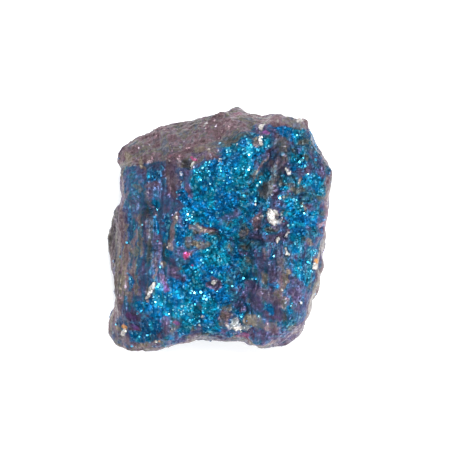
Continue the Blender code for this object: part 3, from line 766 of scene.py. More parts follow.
plan = points[:, :2]
wander, fray = drift(1.5, 70, octaves=3), drift(0.6, 80, octaves=2)
patch_xy = plan + 1.2 * wander
streak_xy = plan + 0.7 * wander + 0.8 * fray
ridge_xy = plan + 0.5 * wander
crumb_xy = ridge_xy + 0.45 * fray
print("streaks wander by up to", np.abs(streak_xy - plan).max().round(2), "mm")

# %% [markdown]
# ## Fibres, edges and the lit rim
# The left column, the groove and the near right field are fibrous, the band at the far side is dull and
# fairly smooth, and edges are worn. Along the near right wall, which faces the low lamp, the skin has a
# smoother rim that is painted pale, a painted highlight of the lit wall. Each of these is a mask from 0
# to 1, because the relief and the tarnish both need them.

# %% Masks
GROOVE = {"groove": ([(8.8, 12.6), (7.6, 8.6), (6.4, 4.6)], 1.6, 0.4)}
LOW_LAMP_FACING = np.array([0.8, -0.6, 0.0])

top_band = inside(patch_xy, TOP_BAND, 0.5)
left_shelf = inside(patch_xy, LEFT_SHELF, 0.6)
left_side = ease(-4.6, -6.8, patch_xy[:, 0]) * (1.0 - top_band)
near_right = ease(3.6, 4.8, patch_xy[:, 0]) * ease(-1.0, -3.0, patch_xy[:, 1])
in_groove = stroked(patch_xy, GROOVE)
fibrous = np.clip(left_side + 0.8 * near_right + in_groove, 0.0, 1.0) * upward
fibrous = np.maximum(fibrous, side * ease(0.45, 0.6, soft_noise(points, 9.0, 5)))
# Painted highlight: the rim of the wall that faces the low lamp, just below the top.
rim_top = 0.36 - 0.18 * ease(0.3, 0.75, -normals[:, 1])
rim = ease(0.3, 0.7, normals @ LOW_LAMP_FACING) * ease(-0.25, 0.1, up) * ease(0.0, -0.18, up - rim_top)
edge = ease(0.55, 0.25, up) * ease(-0.35, -0.1, up)
print("fibrous share:", fibrous.mean().round(2), "rim share:", rim.mean().round(3))

# %% [markdown]
# ## Ridges, hollows and edges
# A few features are larger than the noise and have a place of their own. They could be cut into the block
# itself, but as strokes, whose strength is a height in millimetres, they stay easy to move. Ridges and
# hollows lift and press the upper side. Swells and trims move the walls out and in, which settles the
# outline seen from above.

# %% Ridges, hollows and edges
RIDGES = {
    "lip": ([(6.6, 7.8), (5.7, 6.9), (4.8, 5.9), (4.6, 4.6)], 0.32, 0.32),
    "bank": ([(6.5, 10.2), (5.3, 8.4), (4.4, 6.6)], 0.4, 0.3),
    "rib": ([(-5.9, 2.2), (-6.4, 0.2), (-6.8, -2.8)], 0.4, 0.22),
    "belt": ([(-3.8, 0.4), (-2.6, -0.1), (-1.2, -0.4)], 0.4, 0.1),
    "slot_edge": ([(6.9, -2.4), (6.9, -6.0)], 0.35, 0.1),
    "tan_line": ([(9.6, -5.6), (9.3, -7.2), (8.7, -8.5)], 0.35, 0.15),
    "shelf": ([(-12.8, -2.0), (-13.2, -6.4), (-13.8, -9.8)], 0.4, 0.12),
    "ridge": ([(-7.4, 9.9), (-5.0, 9.9), (-1.6, 10.6), (0.8, 12.0), (3.6, 13.2)], 0.5, 0.25),
    "dip_fill": ([(-2.2, 0.9), (0.4, 0.6)], 0.8, 0.3),
    "column_fill": ([(-9.2, 4.6), (-9.6, -6.0)], 1.5, 0.5),
    "bark_fill": ([(8.8, -1.5), (8.4, -8.0)], 1.1, 0.2),
    "groove_fill": ([(2.9, -5.2), (2.5, -8.6), (2.0, -11.4)], 1.2, 0.35),
}
HOLLOWS = {
    "hole": ([(-5.0, 9.1), (-4.2, 8.8)], 0.42, 0.38),
    "groove": ([(8.6, 11.6), (7.6, 8.4), (6.8, 6.0)], 1.2, 0.15),
    "right_slot": ([(7.5, -3.4), (7.5, -6.4)], 0.28, 0.2),
    "right_slot_2": ([(8.9, -4.0), (9.0, -7.0)], 0.3, 0.15),
    "ring": ([(-1.6, -7.6), (-0.8, -8.1), (-0.2, -7.5)], 0.32, 0.25),
    "low": ([(0.6, -11.2), (-0.4, -12.8)], 0.6, 0.4),
}
SWELLS = {
    "crest": ([(-2.4, 15.7)], 0.9, 0.45),
    "corner": ([(-14.4, 11.4), (-14.1, 9.8)], 1.3, 0.5),
    "far_side": ([(-13.0, 12.6), (-5.0, 15.3)], 1.2, 0.14),
    "far_dip": ([(5.0, 16.0), (7.6, 15.7)], 1.0, 0.22),
    "left": ([(-14.6, 8.0), (-15.0, 3.6), (-15.6, 0.6), (-15.4, -5.0)], 1.4, 0.3),
    "right": ([(13.9, -5.6), (13.5, -8.0)], 1.2, 0.32),
    "near": ([(-12.4, -16.4), (-10.4, -17.0)], 1.2, 0.25),
    "near_right": ([(7.0, -16.4), (9.0, -16.2), (11.2, -14.8)], 1.2, 0.2),
    "crest_2": ([(2.3, 16.6)], 0.7, 0.3),
    "near_middle": ([(-3.8, -15.4), (-1.6, -15.4)], 0.8, 0.15),
    "near_middle_2": ([(1.4, -15.2), (3.6, -15.6)], 0.8, 0.25),
}
TRIMS = {
    "far_corner": ([(10.0, 15.7), (12.2, 15.0)], 1.2, 0.3),
    "far_right": ([(12.6, 13.4), (14.2, 10.6)], 1.2, 0.02),
    "right": ([(14.9, 0.4), (14.5, -3.0)], 1.2, 0.1),
    "right_upper": ([(15.0, 3.4)], 1.2, 0.1),
    "crest_gap": ([(0.0, 16.5)], 0.8, 0.35),
    "crest_side": ([(4.0, 16.2)], 0.7, 0.25),
}
print("features:", sum(map(len, (RIDGES, HOLLOWS, SWELLS, TRIMS))))

# %% [markdown]
# ## Fracture relief
# Chalcopyrite has no single cleavage: it breaks into small uneven steps and shell-shaped chips. A sculpting
# brush could cut them, and so could a displacement texture. Here three sizes of facets, each about half the
# last, build them up, and where the ore is fibrous the cells are stretched along the fibres. Every point
# moves along its normal and then stays within a little over 1% of the block's box, and above the floor.

# %% Move the skin
FACET_SIZES = ((2.6, 0.40), (1.25, 0.24), (0.62, 0.13))  # cell size and height
FIBRE_CELL, FIBRE_HEIGHT = (0.62, 5.5, 1.6), 0.11
GRAIN_SIZE, GRAIN_HEIGHT = 0.34, 0.1
CHIP_SIZE, CHIP_DEPTH = 4.4, 0.8  # shell-shaped chips out of the walls, below the widest line
CRUMB_HEIGHT = 0.22
SIDE_INSET = 0.05  # room for the grains that stand proud of the walls
BOX_SLACK = 0.012  # how far past the block's box a point may go, as a share of its side

facet_share = 1.0 - 0.35 * top_band - 0.78 * fibrous * upward - 0.4 * fibrous * side - 0.9 * in_groove
facet_share = facet_share * (1.0 - 0.4 * edge) * (1.0 - 0.5 * rim)
height = np.zeros(len(points))
for number, (size, tall) in enumerate(FACET_SIZES):
    height += tall * facet_share * facets(points, size, 11 + 10 * number)
height += FIBRE_HEIGHT * fibrous * facets(points, FIBRE_CELL, 91, sharpness=9.0, step=0.8)
height += GRAIN_HEIGHT * (1.0 - 0.7 * rim) * (soft_noise(points, GRAIN_SIZE, 44) - 0.5)
chips = facets(points, CHIP_SIZE, 61) + 0.5 * soft_noise(points, 3.0, 62)
above_floor = ease(0.4, 2.4, points[:, 2] - block_low[2])
height -= CHIP_DEPTH * downward * above_floor * ease(0.35, 0.75, chips)
height += side * (stroked(plan, SWELLS, soft=0.9) - stroked(plan, TRIMS, soft=0.9))
height += (stroked(ridge_xy, RIDGES, soft=0.9) - stroked(ridge_xy, HOLLOWS, soft=0.9)) * upward
pale = stroked(crumb_xy, PALE_SPOTS, soft=0.55) * upward
height += CRUMB_HEIGHT * pale - SIDE_INSET * side * (1.0 - 0.6 * rim)

moved = points + normals * height[:, None]
moved[:, 2] = np.maximum(moved[:, 2], block_low[2])
slack = (block_high - block_low) * BOX_SLACK
moved = np.clip(moved, block_low - slack * (1, 1, 0), block_high + slack)
write_points(ore_mesh, moved)
print("relief, mm:", height.min().round(2), "to", height.max().round(2))

# %% [markdown]
# ## Kinds of tarnish
# The colours come from films of tarnish under a micrometre thick, so they lie in patches that follow the
# surface. Each kind becomes a number on every point, from 0 to 1, that the material mixes colours by.
# Painting them by hand as vertex colours would work too, but numbers worked out here can be changed later
# by one word. On the upper side they come from the map, and on the walls from noise with patches of about
# the same size.

# %% Blue, violet and earth
LEAST_BLUE = 0.12

broad = soft_noise(points, 4.2, 31, octaves=3)
ragged = 1.1 * (soft_noise(points, 1.3, 32, octaves=2) - 0.5) + 0.35 * (soft_noise(points, 0.6, 33) - 0.5)
earth_streaks = stroked(streak_xy, EARTH_STREAKS, soft=0.7)
violet_streaks = stroked(streak_xy, VIOLET_STREAKS, soft=0.7)

blue = np.full(len(points), LEAST_BLUE)
for strength, outline in BLUE_PATCHES.values():
    blue = np.maximum(blue, strength * inside(patch_xy, outline, 0.75))
blue = np.maximum(blue, stroked(streak_xy, BLUE_STREAKS, soft=0.7))
blue *= 1.0 - 0.85 * np.maximum(top_band, 0.6 * left_shelf)
blue *= 1.0 - 0.75 * earth_streaks
blue *= 1.0 - 0.8 * violet_streaks
blue = blue * upward + 0.9 * ease(0.44, 0.62, broad) * side
blue += ragged * (1.0 - 0.6 * top_band - 0.4 * fibrous * upward)

wall_violet = 0.8 * ease(0.45, 0.66, soft_noise(points, 3.4, 35, octaves=2)) * side
violet = 0.8 * violet_streaks * upward + wall_violet + 0.6 * ragged
earth = np.maximum(earth_streaks, np.maximum(top_band, 0.8 * left_shelf)) * upward
earth = earth + ease(0.48, 0.66, soft_noise(points, 5.0, 36, octaves=2)) * side
earth += 0.5 * (soft_noise(points, 0.9, 37, octaves=2) - 0.5)
print("before wear, share that is blue:", (blue > 0.5).mean().round(2))

# %% [markdown]
# ## Tone, lightness and painted light
# Two more numbers vary every colour: tone runs along its ramp, from one end of its hues to the other, and
# lightness makes it lighter or darker, partly as the film does and partly as painted light and shade. On
# fibrous skin the tone is stretched along the fibres, which draws them. The far end of the left column is
# speckled more than streaked.

# %% Tone, lightness and painted light
far_left = left_side * upward * ease(1.0, 5.0, patch_xy[:, 1])
streaky = fibrous * (1.0 - 0.7 * far_left)
stretched = soft_noise(points, (0.5, 3.4, 0.9), 38, octaves=2)
tone = soft_noise(points, 1.1, 39, octaves=2) * (1.0 - streaky) + stretched * streaky
contrast = (1.2 + 0.9 * np.clip(blue, 0.0, 1.0)) * (1.0 - 0.25 * fibrous)
greener = stroked(patch_xy, GREENISH, 0.8) - stroked(patch_xy, NAVY, 0.8)
tone = 0.5 + contrast * (tone - 0.5) + 0.3 * greener * upward
# Lightness: the strokes, which hold painted light and shade, and broad random changes.
glow = (stroked(patch_xy, BRIGHTER_AND_PAINTED_LIGHT, 0.8) - stroked(patch_xy, DARKER_AND_PAINTED_SHADE, 0.8)) * upward + 0.5 * (broad - 0.5)
# How far a point lies above or below its surroundings; the ore material paints shade where it lies low.
relief = height - neighbour_mean(height, edges, rounds=12)[:, 0]
print("tone:", tone.min().round(2), "to", tone.max().round(2))

# %% [markdown]
# ## Wear and growth
# Handling rubs the blue film off sharp edges first, and crystals are missing where the stone rests. So the
# blue fades on worn edges and under quartz, and the numbers that make crystals and grains grow fade towards
# the floor. A shader could find the edges too, but here the normals are at hand.

# %% Wear and growth
UNWORN = {"far_right": ([(12.2, 13.8), (14.8, 9.4)], 1.4, 1.0)}
LEAST_GLITTER = 0.08

worn_edge = ease(0.55, 0.3, up) * ease(-0.3, 0.0, up)
worn_edge *= 1.0 - 0.8 * stroked(patch_xy, UNWORN)
blue *= (1.0 - 0.9 * pale) * (1.0 - 0.75 * worn_edge)
earth += 0.6 * worn_edge
patchy = ease(0.42, 0.6, soft_noise(points, 2.6, 41, octaves=2))
rim *= np.clip(0.75 + 1.2 * ragged, 0.0, 1.0) * np.maximum(ease(0.0, 0.2, up), patchy)
off_floor = ease(0.3, 0.9, moved[:, 2] - block_low[2])
glitter = np.maximum(stroked(plan, GLITTER) * upward, LEAST_GLITTER * np.clip(blue, 0.0, 1.0))
glitter *= (1.0 - 0.8 * top_band) * (1.0 - pale) * off_floor
print("share that is blue:", (blue > 0.5).mean().round(2))

# %% [markdown]
# ## Store the numbers
# Attributes on the points carry the numbers to the material and to the tree that grows grains. Each is a
# float from 0 to 1. A grain copies the numbers of the spot that it grows on, so it takes its colour from
# there.

# %% Store the tarnish on the points
numbers = {
    "blue": blue,
    "violet": violet,
    "earth": earth,
    "pale": pale + 0.35 * ragged * (pale > 0.02),
    "rose": stroked(streak_xy, ROSE_SPOTS, soft=0.7) * upward,
    "rust": stroked(ridge_xy, RUST_SPOTS) * upward,
    "ochre": (stroked(streak_xy, OCHRE_SPOTS, soft=0.9) + 0.3 * ragged) * upward,
    "rim": rim,
    "fibrous": fibrous * (1.0 - left_side * upward * (0.3 + 0.35 * far_left)),
    "tone": tone,
    "glow": 0.5 + 0.5 * glow,
    "raised": 0.5 + relief / 0.5,
    "glitter": glitter,
    "crust": ease(0.18, 0.6, blue) * (1.0 - 0.75 * fibrous) * off_floor,
    "bare": (1.0 - 0.8 * np.clip(blue, 0.0, 1.0) - pale) * (1.0 - 0.7 * rim) * off_floor,
}
for name, values in numbers.items():
    attribute = ore_mesh.attributes.new(name, "FLOAT", "POINT")
    attribute.data.foreach_set("value", np.clip(values, 0.0, 1.0).astype(np.float32))
print("stored:", ", ".join(numbers))

# %% [markdown]
# ## Nodes by short calls
# Materials and Geometry Nodes are usually wired by hand in Blender's editors. In a script that takes
# several lines a node, so these helpers do the wiring. Each makes one node, fills its inputs and returns an
# output, and wherever an input takes a plain value it takes another node's output too.


# %% Node helpers
def new_material(name):
    material = bpy.data.materials.new(name)
    material.use_nodes = True
    return material, material.node_tree, material.node_tree.nodes["Principled BSDF"]


def add(tree, kind, inputs=(), **settings):
    """A new node with its settings and its inputs, each a value or another node's output, filled in."""
    node = tree.nodes.new(kind)
    for key, value in settings.items():
        setattr(node, key, value)
    for key, value in dict(inputs).items():
        if isinstance(value, bpy.types.NodeSocket):
            tree.links.new(value, node.inputs[key])
        else:
            node.inputs[key].default_value = value
    return node


def read(tree, name):
    """One of the numbers stored on the points."""
    return add(tree, "ShaderNodeAttribute", attribute_name=name).outputs["Fac"]


def calculate(tree, operation, *values):
    return add(tree, "ShaderNodeMath", enumerate(values), operation=operation).outputs[0]


def blend(tree, share, first, second, kind="MIX"):
    """Mixes two colours by share."""
    colours = [(*colour, 1.0) if isinstance(colour, tuple) else colour for colour in (first, second)]
    inputs = {0: share, 6: colours[0], 7: colours[1]}
    return add(tree, "ShaderNodeMix", inputs, data_type="RGBA", blend_type=kind).outputs[2]


def span(tree, value, low, high, to_low=0.0, to_high=1.0):
    """Stretches value from low..high to to_low..to_high and clamps it."""
    return add(tree, "ShaderNodeMapRange", {0: value, 1: low, 2: high, 3: to_low, 4: to_high}).outputs[0]


def ramp(tree, value, stops):
    """A colour for each value from 0 to 1, between stops of a place and a colour."""
    node = add(tree, "ShaderNodeValToRGB", {0: value})
    elements = node.color_ramp.elements
    while len(elements) < len(stops):
        elements.new(0.5)
    for element, (place, colour) in zip(elements, stops):
        element.position = place
        element.color = (*colour, 1.0)
    return node.outputs[0]


def either_way(tree, chance, width):
    """A random number from 0 to 1, made one from minus to plus half of width."""
    return calculate(tree, "MULTIPLY", calculate(tree, "SUBTRACT", chance, 0.5), width)


# %% [markdown]
# ## Colours of the tarnish, with painted light
# The skin and every grain on it share one film of tarnish, so they share one recipe for its colour. It
# mixes in layers: slate first, then muddy earth and lilac by their numbers, then the blue film, a painted
# highlight on the lit rim, a painted glint halo round the glitter, and the small spots last, all times a
# lightness that holds painted light and shade. A single palette could be picked by noise alone, but then
# grains and skin would not match. A grain's own random number moves its colour a little, as neighbouring
# crystals differ on the real stone, and the highest numbers give a painted glint.

# %% Colours of the tarnish
# The blue film by chance; the last stop of each ramp is a painted glint, paler for the few highest chances.
DEEP_AND_PAINTED_GLINT = [
    (0.0, (0.0006, 0.045, 0.12)),
    (0.35, (0.001, 0.075, 0.205)),
    (0.78, (0.002, 0.108, 0.28)),
    (0.97, (0.07, 0.24, 0.42)),
]
TEAL_AND_PAINTED_GLINT = [
    (0.0, (0.0006, 0.055, 0.095)),
    (0.35, (0.001, 0.10, 0.17)),
    (0.78, (0.002, 0.148, 0.245)),
    (0.97, (0.09, 0.30, 0.38)),
]
MUD = [
    (0.0, (0.09, 0.058, 0.068)),
    (0.28, (0.135, 0.09, 0.102)),
    (0.42, (0.16, 0.118, 0.13)),
    (0.52, (0.135, 0.115, 0.145)),
    (0.62, (0.145, 0.128, 0.105)),
    (0.78, (0.10, 0.105, 0.13)),
    (1.0, (0.085, 0.10, 0.14)),
]
SLATE = [
    (0.0, (0.09, 0.06, 0.08)),
    (0.25, (0.07, 0.06, 0.115)),
    (0.4, (0.048, 0.07, 0.145)),
    (0.52, (0.028, 0.084, 0.165)),
    (0.64, (0.018, 0.085, 0.14)),
    (0.76, (0.055, 0.078, 0.085)),
    (1.0, (0.095, 0.085, 0.075)),
]
LILAC = [
    (0.0, (0.05, 0.042, 0.085)),
    (0.35, (0.068, 0.056, 0.12)),
    (0.6, (0.115, 0.08, 0.14)),
    (0.8, (0.10, 0.088, 0.165)),
    (1.0, (0.12, 0.105, 0.18)),
]
GRIT = [
    (0.0, (0.86, 0.78, 0.86)),
    (0.35, (1.0, 0.91, 1.0)),
    (0.65, (0.96, 1.01, 0.93)),
    (1.0, (1.14, 1.15, 1.2)),
]
# A painted highlight for the lit rim, and a painted glint halo round the glitter.
RIM_PAINTED_HIGHLIGHT, PAINTED_GLINT_HALO = (0.34, 0.31, 0.28), (0.01, 0.30, 0.46)
ROSE_RED, ROSE_VIOLET = (0.43, 0.062, 0.19), (0.18, 0.06, 0.36)
OCHRE_TAN, RUST_ORANGE = (0.21, 0.18, 0.115), (0.62, 0.27, 0.06)
REDRAW = 17.0  # the fraction of a chance times this is as good as another chance


def tarnish_and_painted_light(tree, chance):
    """Colour of the film and the spots from the stored numbers, with painted light and shade: lighter
    and darker patches, a painted highlight on the lit rim and a painted glint halo. Chance is a grain's own
    random number.
    """
    hue = calculate(tree, "ADD", read(tree, "tone"), either_way(tree, chance, 0.1))
    other_chance = calculate(tree, "FRACT", calculate(tree, "MULTIPLY", chance, REDRAW))
    spill, scatter = either_way(tree, other_chance, 0.2), either_way(tree, chance, 0.12)
    violet_number = read(tree, "violet")

    colour = ramp(tree, hue, SLATE)
    for number, low, high, stops in ((read(tree, "earth"), 0.3, 0.7, MUD), (violet_number, 0.3, 0.8, LILAC)):
        share = span(tree, calculate(tree, "ADD", number, spill), low, high)
        colour = blend(tree, share, colour, ramp(tree, hue, stops))
    colour = blend(tree, 1.0, colour, ramp(tree, chance, GRIT), "MULTIPLY")
    film = blend(tree, span(tree, hue, 0.25, 0.8), ramp(tree, chance, DEEP_AND_PAINTED_GLINT), ramp(tree, chance, TEAL_AND_PAINTED_GLINT))
    film_share = calculate(tree, "ADD", read(tree, "blue"), scatter)
    colour = blend(tree, span(tree, film_share, 0.25, 0.55), colour, film)
    # Painted highlight: the rim of the wall that faces the low lamp is painted pale.
    colour = blend(tree, span(tree, read(tree, "rim"), 0.2, 0.9, 0.0, 0.75), colour, RIM_PAINTED_HIGHLIGHT)
    # Painted glint halo: the colour round the glitter is painted a brighter blue.
    colour = blend(tree, span(tree, read(tree, "glitter"), 0.15, 0.9, 0.0, 0.7), colour, PAINTED_GLINT_HALO)

    rose = blend(tree, span(tree, violet_number, 0.3, 0.8), ROSE_RED, ROSE_VIOLET)
    for name, tint, most in (("ochre", OCHRE_TAN, 0.65), ("rose", rose, 1.0), ("rust", RUST_ORANGE, 1.0)):
        spot = calculate(tree, "ADD", read(tree, name), scatter)
        colour = blend(tree, span(tree, spot, 0.3, 0.9, 0.0, most), colour, tint)
    # The lightness, with its painted light and shade, multiplies the colour.
    return blend(tree, 1.0, colour, span(tree, read(tree, "glow"), 0.0, 1.0, 0.33, 1.47), "MULTIPLY")


print("colours:", sum(map(len, (DEEP_AND_PAINTED_GLINT, TEAL_AND_PAINTED_GLINT, MUD, SLATE, LILAC, GRIT))), "stops")

# %% [markdown]
# ## Ore material
# The skin between the crystals is granular too. A mesh for every one of its grains would cost hundreds of
# thousands of faces more, so a Voronoi texture makes them: each of its cells, 0.3 mm across, has its own
# tint and roughness, and its own tilt in the bump, so every grain catches the light at its own angle. One
# Principled shader covers it all, because tarnish is only a film on one metal-like mineral. Along the
# fibres run pale and dark hairlines.

# %% Colour of the ore
GRAIN_CELL = 0.3
HAIRLINE_WIDTH = 0.38
HAIRLINE_STRETCH = (1.0, 0.11, 0.4)
HAIR_BLUE, HAIR_TAN, HAIR_DARK = (0.12, 0.12, 0.17), (0.27, 0.24, 0.20), (0.02, 0.03, 0.06)
UNDER_QUARTZ = (0.42, 0.40, 0.38)
PAINTED_HOLLOW_SHADE = (0.01, 0.035, 0.065)

ore, tree, shader = new_material("ore")
place = add(tree, "ShaderNodeTexCoord").outputs["Object"]
cells = add(tree, "ShaderNodeTexVoronoi", {"Vector": place, "Scale": 1 / (GRAIN_CELL * MM)}).outputs
chances = add(tree, "ShaderNodeSeparateColor", {0: cells["Color"]}).outputs
along = add(tree, "ShaderNodeVectorMath", {0: place, 1: HAIRLINE_STRETCH}, operation="MULTIPLY").outputs[0]
hair_noise = {"Vector": along, "Scale": 1 / (HAIRLINE_WIDTH * MM), "Detail": 3.0}
hairs = add(tree, "ShaderNodeTexNoise", hair_noise).outputs[0]
fibre = read(tree, "fibrous")

base = tarnish_and_painted_light(tree, chances[1])
pale_line = calculate(tree, "MULTIPLY", span(tree, hairs, 0.54, 0.66, 0.0, 0.38), fibre)
base = blend(tree, pale_line, base, blend(tree, read(tree, "earth"), HAIR_BLUE, HAIR_TAN))
dark_line = calculate(tree, "MULTIPLY", span(tree, hairs, 0.44, 0.34, 0.0, 0.3), fibre)
base = blend(tree, dark_line, base, HAIR_DARK)
base = blend(tree, span(tree, read(tree, "pale"), 0.4, 0.8), base, UNDER_QUARTZ)
base = blend(tree, 1.0, base, span(tree, chances[2], 0.0, 1.0, 0.8, 1.2), "MULTIPLY")
# Painted shade: the skin is darkened where it lies lower than its surroundings, in hollows and creases.
dip = span(tree, read(tree, "raised"), 0.45, 0.1, 0.0, 0.4)
painted_hollow_shade_share = calculate(tree, "MULTIPLY", dip, span(tree, fibre, 0.0, 1.0, 1.0, 0.4))
base = blend(tree, painted_hollow_shade_share, base, PAINTED_HOLLOW_SHADE)
tree.links.new(base, shader.inputs["Base Color"])
print("ore colour:", len(tree.nodes), "nodes")

# %% [markdown]
# ## Shine and bump
# The ore is a metal-like mineral under a thin film, so it is nearly all metallic, and its roughness differs
# from grain to grain. A normal map could tilt the grains, but it would be an image of a fixed size. The
# bump works their tilt out instead: the way from a cell's middle to a point, times the cell's own random
# slope.

# %% Shine and bump of the ore
ORE_METALLIC, ORE_SPECULAR = 0.92, 0.1

tree.links.new(span(tree, chances[0], 0.0, 1.0, 0.34, 0.6), shader.inputs["Roughness"])
shader.inputs["Metallic"].default_value = ORE_METALLIC
shader.inputs["Specular IOR Level"].default_value = ORE_SPECULAR

toward = add(tree, "ShaderNodeVectorMath", {0: place, 1: cells["Position"]}, operation="SUBTRACT")
tilt = add(tree, "ShaderNodeVectorMath", {0: cells["Color"], 1: (0.5, 0.5, 0.5)}, operation="SUBTRACT")
plane = add(tree, "ShaderNodeVectorMath", {0: toward.outputs[0], 1: tilt.outputs[0]}, operation="DOT_PRODUCT")
grainy = span(tree, fibre, 0.0, 0.7, 0.5, 0.3)
strength = calculate(tree, "ADD", grainy, span(tree, read(tree, "blue"), 0.2, 0.6, 0.0, 0.2))
bump = add(tree, "ShaderNodeBump", {"Height": plane.outputs["Value"], "Strength": strength, "Distance": 1.0})
tree.links.new(bump.outputs[0], shader.inputs["Normal"])
print("ore material:", len(tree.nodes), "nodes")

# %% [markdown]
# ## The chunk as one object
# The real chunk is one lump of ore, so its skin is one piece. It could be cut into a piece for each kind of
# tarnish, but the kinds fade into each other, so one material reads them from the points. The object stays
# at the origin, with the place of the stone in its mesh.


# %% Make the chunk's object
def triangle_count(mesh):
    return sum(len(face.vertices) - 2 for face in mesh.polygons)


ore_mesh.materials.append(ore)
chunk = put("tarnished_ore_chunk", ore_mesh)
print(chunk.name, "has", triangle_count(ore_mesh), "triangles")

# %% [markdown]
# ## Crystals that sparkle
# The blue crust is thousands of crystals about a third of a millimetre across. Placing them by hand is out
# of the question, and a bump alone has no outline. Geometry Nodes scatter them instead: points on the skin,
# one of a few rough crystal shapes on each, turned at random. Each shape is the hull of a few points, which
# gives flat faces with sharp edges at a cost of 10 to 22 triangles.

# %% A few crystal shapes
CRYSTAL_SQUASH = 0.8
GLINT_SIDES = 6
GLINT_RINGS = ((0.3, 0.2), (0.5, -0.05))  # radius and height of its top and its girdle
GLINT_ROOT = (0.0, 0.0, -0.4)


def hull_shape(name, corners):
    """The smallest closed shape round the corners, as an object that isn't in the scene."""
    bm = bmesh.new()
    for corner in corners:
        bm.verts.new(corner)
    hull = bmesh.ops.convex_hull(bm, input=bm.verts[:])
    bmesh.ops.delete(bm, geom=[v for v in hull["geom_interior"] if isinstance(v, bmesh.types.BMVert)])
    bmesh.ops.recalc_face_normals(bm, faces=bm.faces[:])
    mesh = bpy.data.meshes.new(name)
    bm.to_mesh(mesh)
    bm.free()
    return bpy.data.objects.new(name, mesh)


def crystal_shape(name, seed, corners):
    """The hull of a few random points on a squashed ball: a sharp many-sided grain one unit across."""
    chance = np.random.default_rng(seed)
    directions = [chance.normal(size=3) for _ in range(corners)]
    ball = [direction * (0.5 / np.linalg.norm(direction)) for direction in directions]
    return hull_shape(name, [corner * (1.0, 1.0, CRYSTAL_SQUASH) for corner in ball])


def glint_shape(name, seed):
    """A low crystal with a flat top; its number tip is 1 on the top face and 0 on the flanks."""
    chance = np.random.default_rng(seed)
    corners = []
    for radius, height in GLINT_RINGS:
        for side in range(GLINT_SIDES):
            turn = math.tau * (side + 0.3 * chance.random()) / GLINT_SIDES
            reach = radius * (0.85 + 0.3 * chance.random())
            corners.append((reach * math.cos(turn), reach * math.sin(turn), height))
    shape = hull_shape(name, [*corners, GLINT_ROOT])
    tips = [float(face.normal.z > 0.9) for face in shape.data.polygons]
    shape.data.attributes.new("tip", "FLOAT", "FACE").data.foreach_set("value", tips)
    return shape


def shape_set(name, shapes):
    """A collection that the growing tree picks its shapes from."""
    collection = bpy.data.collections.new(name)
    for shape in shapes:
        collection.objects.link(shape)
    print(name, "have", [len(shape.data.polygons) for shape in shapes], "faces")
    return collection


glint_shapes = shape_set("glint_shapes", [glint_shape(f"glint_{k}", 200 + k) for k in range(4)])
crystals = [crystal_shape(f"crystal_{k}", 100 + k, corners=7 + k % 2) for k in range(6)]
crystal_shapes = shape_set("crystal_shapes", crystals)

# %% [markdown]
# ## One tree for every kind of grain
# Four kinds of grain grow on the stone, and they differ only in where, how thickly and how large. Four
# trees would say the same thing four times, so one tree takes these as inputs. It ends by turning its
# instances into plain geometry, because instances don't survive an export.

# %% The tree that grows them
TREE_INPUTS = (
    ("Where", "NodeSocketString", "blue"),
    ("Grains per mm2", "NodeSocketFloat", 5.0),
    ("Spacing mm", "NodeSocketFloat", 0.2),
    ("Smallest mm", "NodeSocketFloat", 0.2),
    ("Largest mm", "NodeSocketFloat", 0.5),
    ("Sink", "NodeSocketFloat", 0.3),
    ("Tumble", "NodeSocketFloat", 1.0),
    ("Seed", "NodeSocketInt", 1),
    ("Shapes", "NodeSocketCollection", None),
    ("Material", "NodeSocketMaterial", None),
)
SMALL_ONES = 2.2  # the higher, the more of the grains are small
PICKS = 99  # the highest random number that a shape is picked by


